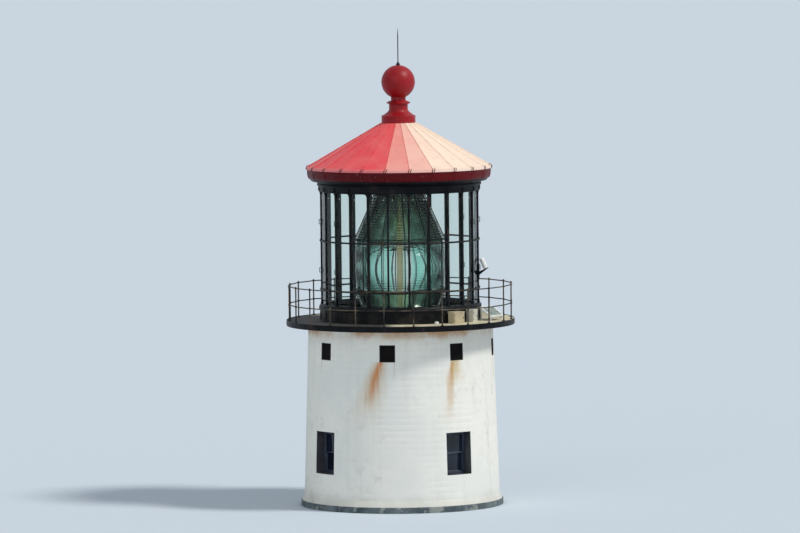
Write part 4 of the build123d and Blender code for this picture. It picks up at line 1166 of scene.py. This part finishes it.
rib.studs([0], [belt_low + 0.10 + step * 0.135 for step in range(11)],
          rib_face + 0.001, rib_face - 0.004, 0.008)
piece("lens_bars", lens_frame.around(rib, rib_count, bay_angle), [bronze], ["lens_frame"])

# Crown, pedestal and lamp stand. A spun bronze crown closes the top of the lens. A cast drum with ribs
# and knees under its flange carries the foot, and a turned post of lacquered brass carries the lamp.
crown_outer = crown_lens_radius + prism_depth + rib_depth
crown_outline = moved([(-0.018, 0.188), (-0.018, 0), (-0.012, 0), (-0.002, 0), (0, 0.006), (0, 0.060),
                       (-0.008, 0.068), (-0.008, 0.150), (0, 0.158), (0, 0.196), (-0.006, 0.202)],
                      crown_outer)
crown_outline += [(0.700, 0.244), (0.600, 0.290), (0.520, 0.320), (0, 0.320), (0, 0.308), (0.515, 0.308),
                  (0.600, 0.276), (0.700, 0.230)]
crown = Shape().spin(crown_outline, 72, up=crown_low)
crown_rivet = Shape().studs([0], [crown_low + 0.110], 0.009, -0.001, 0.010, 8)
piece("lens_cap", crown.around(crown_rivet, 48, 0, crown_outer), [bronze], ["lens_crown"], 30)

pedestal_iron = painted_iron("Pedestal enamel", (30, 42, 38), (58, 70, 62), 0.3)
pedestal_radius, flange_radius, flange_tall = 0.620, 1.270, 0.060
flange_low = lens_bottom - flange_tall - lens_floor
drum_outline = moved([(-0.030, flange_low), (-0.030, 0), (0, 0), (0, 0.045), (-0.018, 0.060),
                      (-0.018, flange_low - 0.040), (-0.002, flange_low)], pedestal_radius)
drum_outline += moved([(-0.006, 0), (0, 0.008), (0, flange_tall - 0.006), (-0.006, flange_tall)],
                      flange_radius, flange_low)
drum_outline += [(0, flange_low + flange_tall), (0, flange_low)]
drum = Shape().spin(drum_outline, 72, up=lens_floor)
knee_front, knee_back = -flange_radius + 0.150, -pedestal_radius + 0.016
knee = Shape().block((-0.010, knee_back - 0.014, 0.060), (0.010, knee_back + 0.004, flange_low))
knee.strip([(knee_back, flange_low - 0.150), (knee_front, flange_low - 0.012), (knee_front, flange_low),
            (knee_back, flange_low)], -0.008, 0.008)
foot_bolt = Shape().tube([(0, 0.035, 0), (0, 0.035, 0.014)], 0.014, 6)
drum.around(knee, rib_count, 0, 0, lens_floor).around(foot_bolt, 36, 0, flange_radius, lens_bottom)
piece("lens_drum", drum, [pedestal_iron], ["lens_pedestal"])

brass = coat("Lacquered brass", 0.4, ((255, 222, 182), (250, 206, 162), (184, 134, 90)), (2.6, 0.7, 0.3),
             (34, 5, 0.0008), Coat_Weight=0.1)
lamp_radius, lamp_tall = 0.105, 2.700
lamp_outline = [(0, 0), (0.190, 0), (0.190, 0.030), (0.178, 0.040)]
lamp_outline += [(lamp_radius + 0.060 * (1 - sin(radians(turn))), 0.045 + 0.001 * turn)
                 for turn in (0, 30, 60, 90)]
bead_outline = [(0, -0.030), (0.017, -0.018), (0.021, 0), (0.017, 0.018), (0, 0.030)]
for level in (0.62, 1.18, 1.54, 2.05):
    lamp_outline += moved(bead_outline, lamp_radius, level)
lamp_outline += moved([(lamp_radius, -0.250), (0.090, -0.240), (0.062, -0.232), (0.062, -0.030),
                       (0.048, -0.006), (0.030, 0), (0, 0)], 0, lamp_tall)
piece("lamp_post", Shape().spin(lamp_outline, 40, up=lens_bottom), [brass], ["lamp_stand"], 30)

# Solar panel. An aluminium frame, painted white, holds a sheet of glass over thirty-six cells, joined
# by fine strips, on a welded stand that is bolted to the deck.
panel_rise, panel_tilt = 0.250, radians(36.0)
panel_place = Matrix.Translation((parapet_radius + 0.405, -0.368, deck_top + panel_rise)) @ turned(68.4)
panel_wide, panel_long, panel_thick, panel_rim = 0.820, 0.520, 0.036, 0.056
glass_level, strip_half, wire_half = panel_thick - 0.006, 0.0015, 0.0008
panel_white = coat("White coated frame", 0.35, ((250, 251, 248), (234, 236, 230), (160, 150, 128)),
                   (4.0, 0.6, 0.3), Coat_Weight=0.2)
cell_glass, tree, shader = material("Cells under glass", 0.12, Coat_Weight=1.0, Coat_Roughness=0.08)
flakes = node(tree, "ShaderNodeTexVoronoi", {"Vector": spot(tree), "Scale": 60.0})["Distance"]
colour = mixed(ramp(flakes, 0.1, 0.7), tone(96, 112, 102), tone(132, 148, 134))
dusty = times(ramp(cloud(tree, 6, 6), 0.45, 0.7), 0.4)
wire(mixed(dusty, colour, tone(170, 178, 162)), shader["Base Color"])
strip_metal, tree, shader = material("Cell strips", 0.3, Metallic=0.4)
wire(mixed(cloud(tree, 30), tone(206, 208, 200), tone(176, 180, 174)), shader["Base Color"])

half_wide, half_long = panel_wide / 2, panel_long / 2
rim_outline = [(0, 0.002), (0.002, 0), (panel_rim, 0), (panel_rim, panel_thick - 0.006),
               (panel_rim + 0.001, panel_thick - 0.004), (panel_rim - 0.001, panel_thick),
               (0.002, panel_thick), (0, panel_thick - 0.002)]
face = Shape().ring([[(across * (half_wide - inset), along * (half_long - inset), rise)
                      for inset, rise in rim_outline]
                     for across, along in ((-1, -1), (1, -1), (1, 1), (-1, 1))])
light_wide, light_long = half_wide - panel_rim, half_long - panel_rim
face.block((-light_wide, -light_long, 0.004), (light_wide, light_long, glass_level), 1)
columns, rows = 9, 4
for step in range(1, 3 * columns):
    x = -light_wide + step * 2 * light_wide / (3 * columns)
    half, proud = (strip_half, 0.0006) if step % 3 == 0 else (wire_half, 0.0004)
    face.block((x - half, -light_long, glass_level - 0.001), (x + half, light_long, glass_level + proud), 2)
for row in range(1, rows):
    y = -light_long + row * 2 * light_long / rows
    face.block((-light_wide, y - strip_half, glass_level - 0.001),
               (light_wide, y + strip_half, glass_level + 0.0006), 2)
piece("panel_face", Shape().put(face, panel_place @ Matrix.Rotation(panel_tilt, 4, "X")),
      [panel_white, cell_glass, strip_metal], ["solar_panel"])

stand, leg_half, leg_inset, leg_foot = Shape(), 0.018, 0.060, -panel_rise
run_half, lean = half_long * cos(panel_tilt), tan(panel_tilt)
bar_tall = 2 * leg_half / cos(panel_tilt)
leg_x, leg_y = half_wide - leg_inset, run_half - 2 * leg_half
for side in (-1, 1):
    x = side * leg_x
    stand.strip([(end * run_half, end * run_half * lean - drop)
                 for end, drop in ((-1, 0), (1, 0), (1, bar_tall), (-1, bar_tall))],
                x - leg_half, x + leg_half)
    for y in (-leg_y, leg_y):
        stand.block((x - leg_half, y - leg_half, leg_foot),
                    (x + leg_half, y + leg_half, y * lean - bar_tall / 2), bevel=0.003)
        stand.block((x - 0.040, y - 0.034, leg_foot), (x + 0.040, y + 0.034, leg_foot + 0.008), bevel=0.002)
        for corner in (-0.028, 0.028):
            stand.tube([(x + corner, y + 0.024, leg_foot + rise) for rise in (0.008, 0.020)], 0.007, 6)
stand.tube([(-leg_x, leg_y, -0.09), (leg_x, leg_y, -0.09)], 0.010, 10)
piece("panel_legs", Shape().put(stand, panel_place), [panel_white], ["panel_stand"])

# Boxes. Two folded sheet boxes with overhanging lids stand on the deck, each with a door, hinges and a
# catch: a beige equipment cabinet, and a paler battery box with louvres.
beige = coat("Beige box enamel", 0.45, ((206, 192, 158), (184, 172, 144), (110, 82, 52)), (3.0, 0.8, 0.7),
             (40, 5, 0.0008), Coat_Weight=0.1)
pale_enamel = coat("Pale box enamel", 0.42, ((222, 220, 206), (200, 198, 184), (128, 104, 74)),
                   (3.4, 0.8, 0.6), (40, 5, 0.0008), Coat_Weight=0.1)
dull_steel, tree, shader = material("Dulled steel", 0.4, Metallic=0.9)
wire(mixed(cloud(tree, 20), tone(120, 120, 116), tone(86, 84, 80)), shader["Base Color"])
lid_tall, lid_over, box_back = 0.036, 0.014, parapet_radius + 0.040

for name, stands_for, enamel, azimuth, wide, deep, tall, louvred in (
    ("cabinet", "equipment_box", beige, 48, 0.430, 0.300, 0.370, False),
    ("battery_case", "battery_box", pale_enamel, 64, 0.250, 0.260, 0.400, True),
):
    box, half = Shape(), wide / 2
    box.block((-half, -deep, 0), (half, 0, tall - lid_tall), bevel=0.006)
    box.block((-half - lid_over, -deep - lid_over, tall - lid_tall), (half + lid_over, lid_over, tall),
              bevel=0.009)
    low, high = 0.035, tall - lid_tall - 0.025
    middle = (low + high) / 2
    box.border(half - 0.024, (high - low) / 2, middle,
               [(inset, depth - deep) for inset, depth in (
                   (0, 0), (0, -0.006), (0.004, -0.008), (0.030, -0.008), (0.034, 0))])
    if louvred:
        for step in range(5):
            level = low + 0.060 + step * 0.045
            box.strip([(0.001 - deep, level + 0.026), (-deep - 0.012, level), (0.001 - deep, level)],
                      -half + 0.066, half - 0.066)
    for level in (low + 0.050, high - 0.050):
        box.tube([(-half + 0.020, -deep - 0.010, level + end) for end in (-0.024, 0.024)], 0.008, 10, 1)
    box.studs([half - 0.055], [middle], -deep - 0.006, -deep - 0.020, 0.015, 14, 1)
    box.block((half - 0.090, -deep - 0.026, middle - 0.009), (half - 0.030, -deep - 0.019, middle + 0.009),
              1, 0.002)
    piece(name, Shape().put(box, turned(azimuth, box_back, deck_top)), [enamel, dull_steel], [stands_for])

# Marker lamp and its bracket. A white plastic housing with a ribbed lens cap leans out from a welded
# plate, bolted to a mullion, and a small white deck fitting and a dark junction box stand near by.
lamp_azimuth, lamp_lean, lamp_reach, lamp_height = 90, radians(24), 0.150, 1.780
marker_radius, marker_long = 0.080, 0.360
marker_foot = Vector((0, -(mullion_face + lamp_reach + marker_long / 2 * sin(lamp_lean)),
                      deck_top + lamp_height - marker_long / 2 * cos(lamp_lean)))
housing_outline = [(0, 0), *moved([(-0.022, 0), (-0.006, 0.008), (0, 0.022), (0, 0.090), (-0.007, 0.094),
                                   (-0.007, 0.100), (0, 0.104)], marker_radius)]
for step in range(6):
    housing_outline += moved([(0, 0.020), (-0.003, 0.025), (0, 0.030)], marker_radius, 0.112 + step * 0.030)
housing_outline += [*moved([(0, -0.024), (-0.008, -0.008), (-0.024, 0)], marker_radius, marker_long),
                    (0, marker_long)]
plastic = coat("White lamp plastic", 0.3, ((240, 240, 236), (224, 224, 214), (150, 146, 132)),
               (5.0, 0.6, 0.5), Coat_Weight=0.3, Subsurface_Weight=0.05)
marker_place = turned(lamp_azimuth) @ Matrix.Translation(marker_foot) @ Matrix.Rotation(-lamp_lean, 4, "X")
piece("marker_housing", Shape().put(Shape().spin(housing_outline, 32), marker_place), [plastic],
      ["marker_lamp"], 30)

bracket, bracket_half, web_thick, plate_thick, plate_half = Shape(), 0.030, 0.006, 0.014, 0.250
plate_back, arm_end = -(mullion_face + 0.0003), marker_foot.y - marker_radius
plate_front = plate_back - plate_thick
root_height, end_height = (marker_foot.z + (marker_foot.y - y) * tan(lamp_lean) - 0.0003
                           for y in (plate_back, arm_end))
bracket.strip([(plate_back, root_height), (arm_end, end_height), (arm_end, end_height - 0.010),
               (plate_back, root_height - 0.010)], -bracket_half, bracket_half)
for x in (-bracket_half, bracket_half - web_thick):
    bracket.strip([(plate_back, root_height - 0.009), (arm_end, end_height - 0.009),
                   (arm_end + 0.010, end_height - 0.026), (plate_back, root_height - 0.120)],
                  x, x + web_thick)
bracket.block((-bracket_half, plate_front, root_height - plate_half),
              (bracket_half, plate_back, root_height + plate_half), bevel=0.002)
bracket.studs([0], [root_height + rise for rise in (-0.215, -0.150, 0.150, 0.215)], plate_front,
              plate_front - 0.012, 0.012)
piece("marker_bracket", Shape().put(bracket, turned(lamp_azimuth)), [black_iron], ["lamp_bracket"])

fitting = Shape().spin([(0, 0), (0.080, 0), (0.085, 0.006), (0.085, 0.018), (0.062, 0.024), (0.068, 0.044),
                        (0.062, 0.066), (0.040, 0.080), (0, 0.084)], 24)
junction = Shape().block((-0.070, -0.045, 0), (0.070, 0.045, 0.120), 1, 0.006)
junction.block((-0.076, -0.051, 0.120), (0.076, 0.051, 0.134), 1, 0.004)
junction.tube([(-0.052, 0, 0.134), (-0.052, 0, 0.150)], 0.010, 8, 1)
deck_bits = Shape().put(fitting, turned(33.5, parapet_radius + 0.120, deck_top))
deck_bits.put(junction, turned(57.5, parapet_radius + 0.080, deck_top))
piece("deck_fittings", deck_bits, [plastic, black_iron], (), 30)

# Stage. A plain pale floor that fills the view, a soft key light high on the right, a weak fill from the
# front and an even pale surround.
floor_paint, tree, shader = material("Pale floor", 0.9, Base_Color=(0.60, 0.67, 0.73, 1.0),
                                     Specular_IOR_Level=0.1)
floor_half, floor_level = 3000.0, -0.002
ground = bpy.data.meshes.new("floor")
corners = ((-1, -1), (1, -1), (1, 1), (-1, 1))
ground.from_pydata([(x * floor_half, y * floor_half, floor_level) for x, y in corners], [], [(0, 1, 2, 3)])
ground.materials.append(floor_paint)
floor_piece = bpy.data.objects.new("floor", ground)
bpy.context.scene.collection.objects.link(floor_piece)

world = bpy.data.worlds.new("Studio")
bpy.context.scene.world = world
world.use_nodes = True
rays = node(world.node_tree, "ShaderNodeLightPath", {})
seen = maths("MAXIMUM", maths("MAXIMUM", rays["Is Camera Ray"], rays["Is Glossy Ray"]),
             rays["Is Transmission Ray"])
wire(mixed(seen, (0.42, 0.45, 0.49, 1.0), (0.58, 0.64, 0.70, 1.0)),
     world.node_tree.nodes["Background"].inputs["Color"])


def lamp(name, azimuth, elevation, strength, spread, colour):
    """A soft distant light from a direction."""
    light = bpy.data.lights.new(name, "SUN")
    light.energy, light.angle, light.color = strength, radians(spread), colour
    holder = bpy.data.objects.new(name, light)
    turn, rise = radians(azimuth), radians(elevation)
    away = Vector((sin(turn) * cos(rise), -cos(turn) * cos(rise), sin(rise)))
    holder.rotation_euler = away.to_track_quat("Z", "Y").to_euler()
    bpy.context.scene.collection.objects.link(holder)


lamp("key", 76.0, 50.0, 2.1, 11.0, (1.0, 0.975, 0.94))
lamp("fill", -15.0, 22.0, 0.35, 40.0, (0.94, 0.97, 1.0))

view_azimuth, view_distance, view_height, view_roll = radians(8.4), 209.0, 21.4, radians(0.58)
low, high = [Vector(corner) for corner in cad_box]
camera = bpy.data.objects.new("camera", bpy.data.cameras.new("camera"))
camera.location = (view_distance * sin(view_azimuth), -view_distance * cos(view_azimuth), view_height)
aim = ((low + high) / 2 - camera.location).to_track_quat("-Z", "Y").to_matrix().to_4x4()
camera.rotation_euler = (aim @ Matrix.Rotation(-view_roll, 4, "Z")).to_euler()
camera.data.lens, camera.data.clip_end = 295.0, 5000.0
bpy.context.scene.collection.objects.link(camera)
bpy.context.scene.camera = camera
bpy.context.scene.view_settings.view_transform = "Standard"
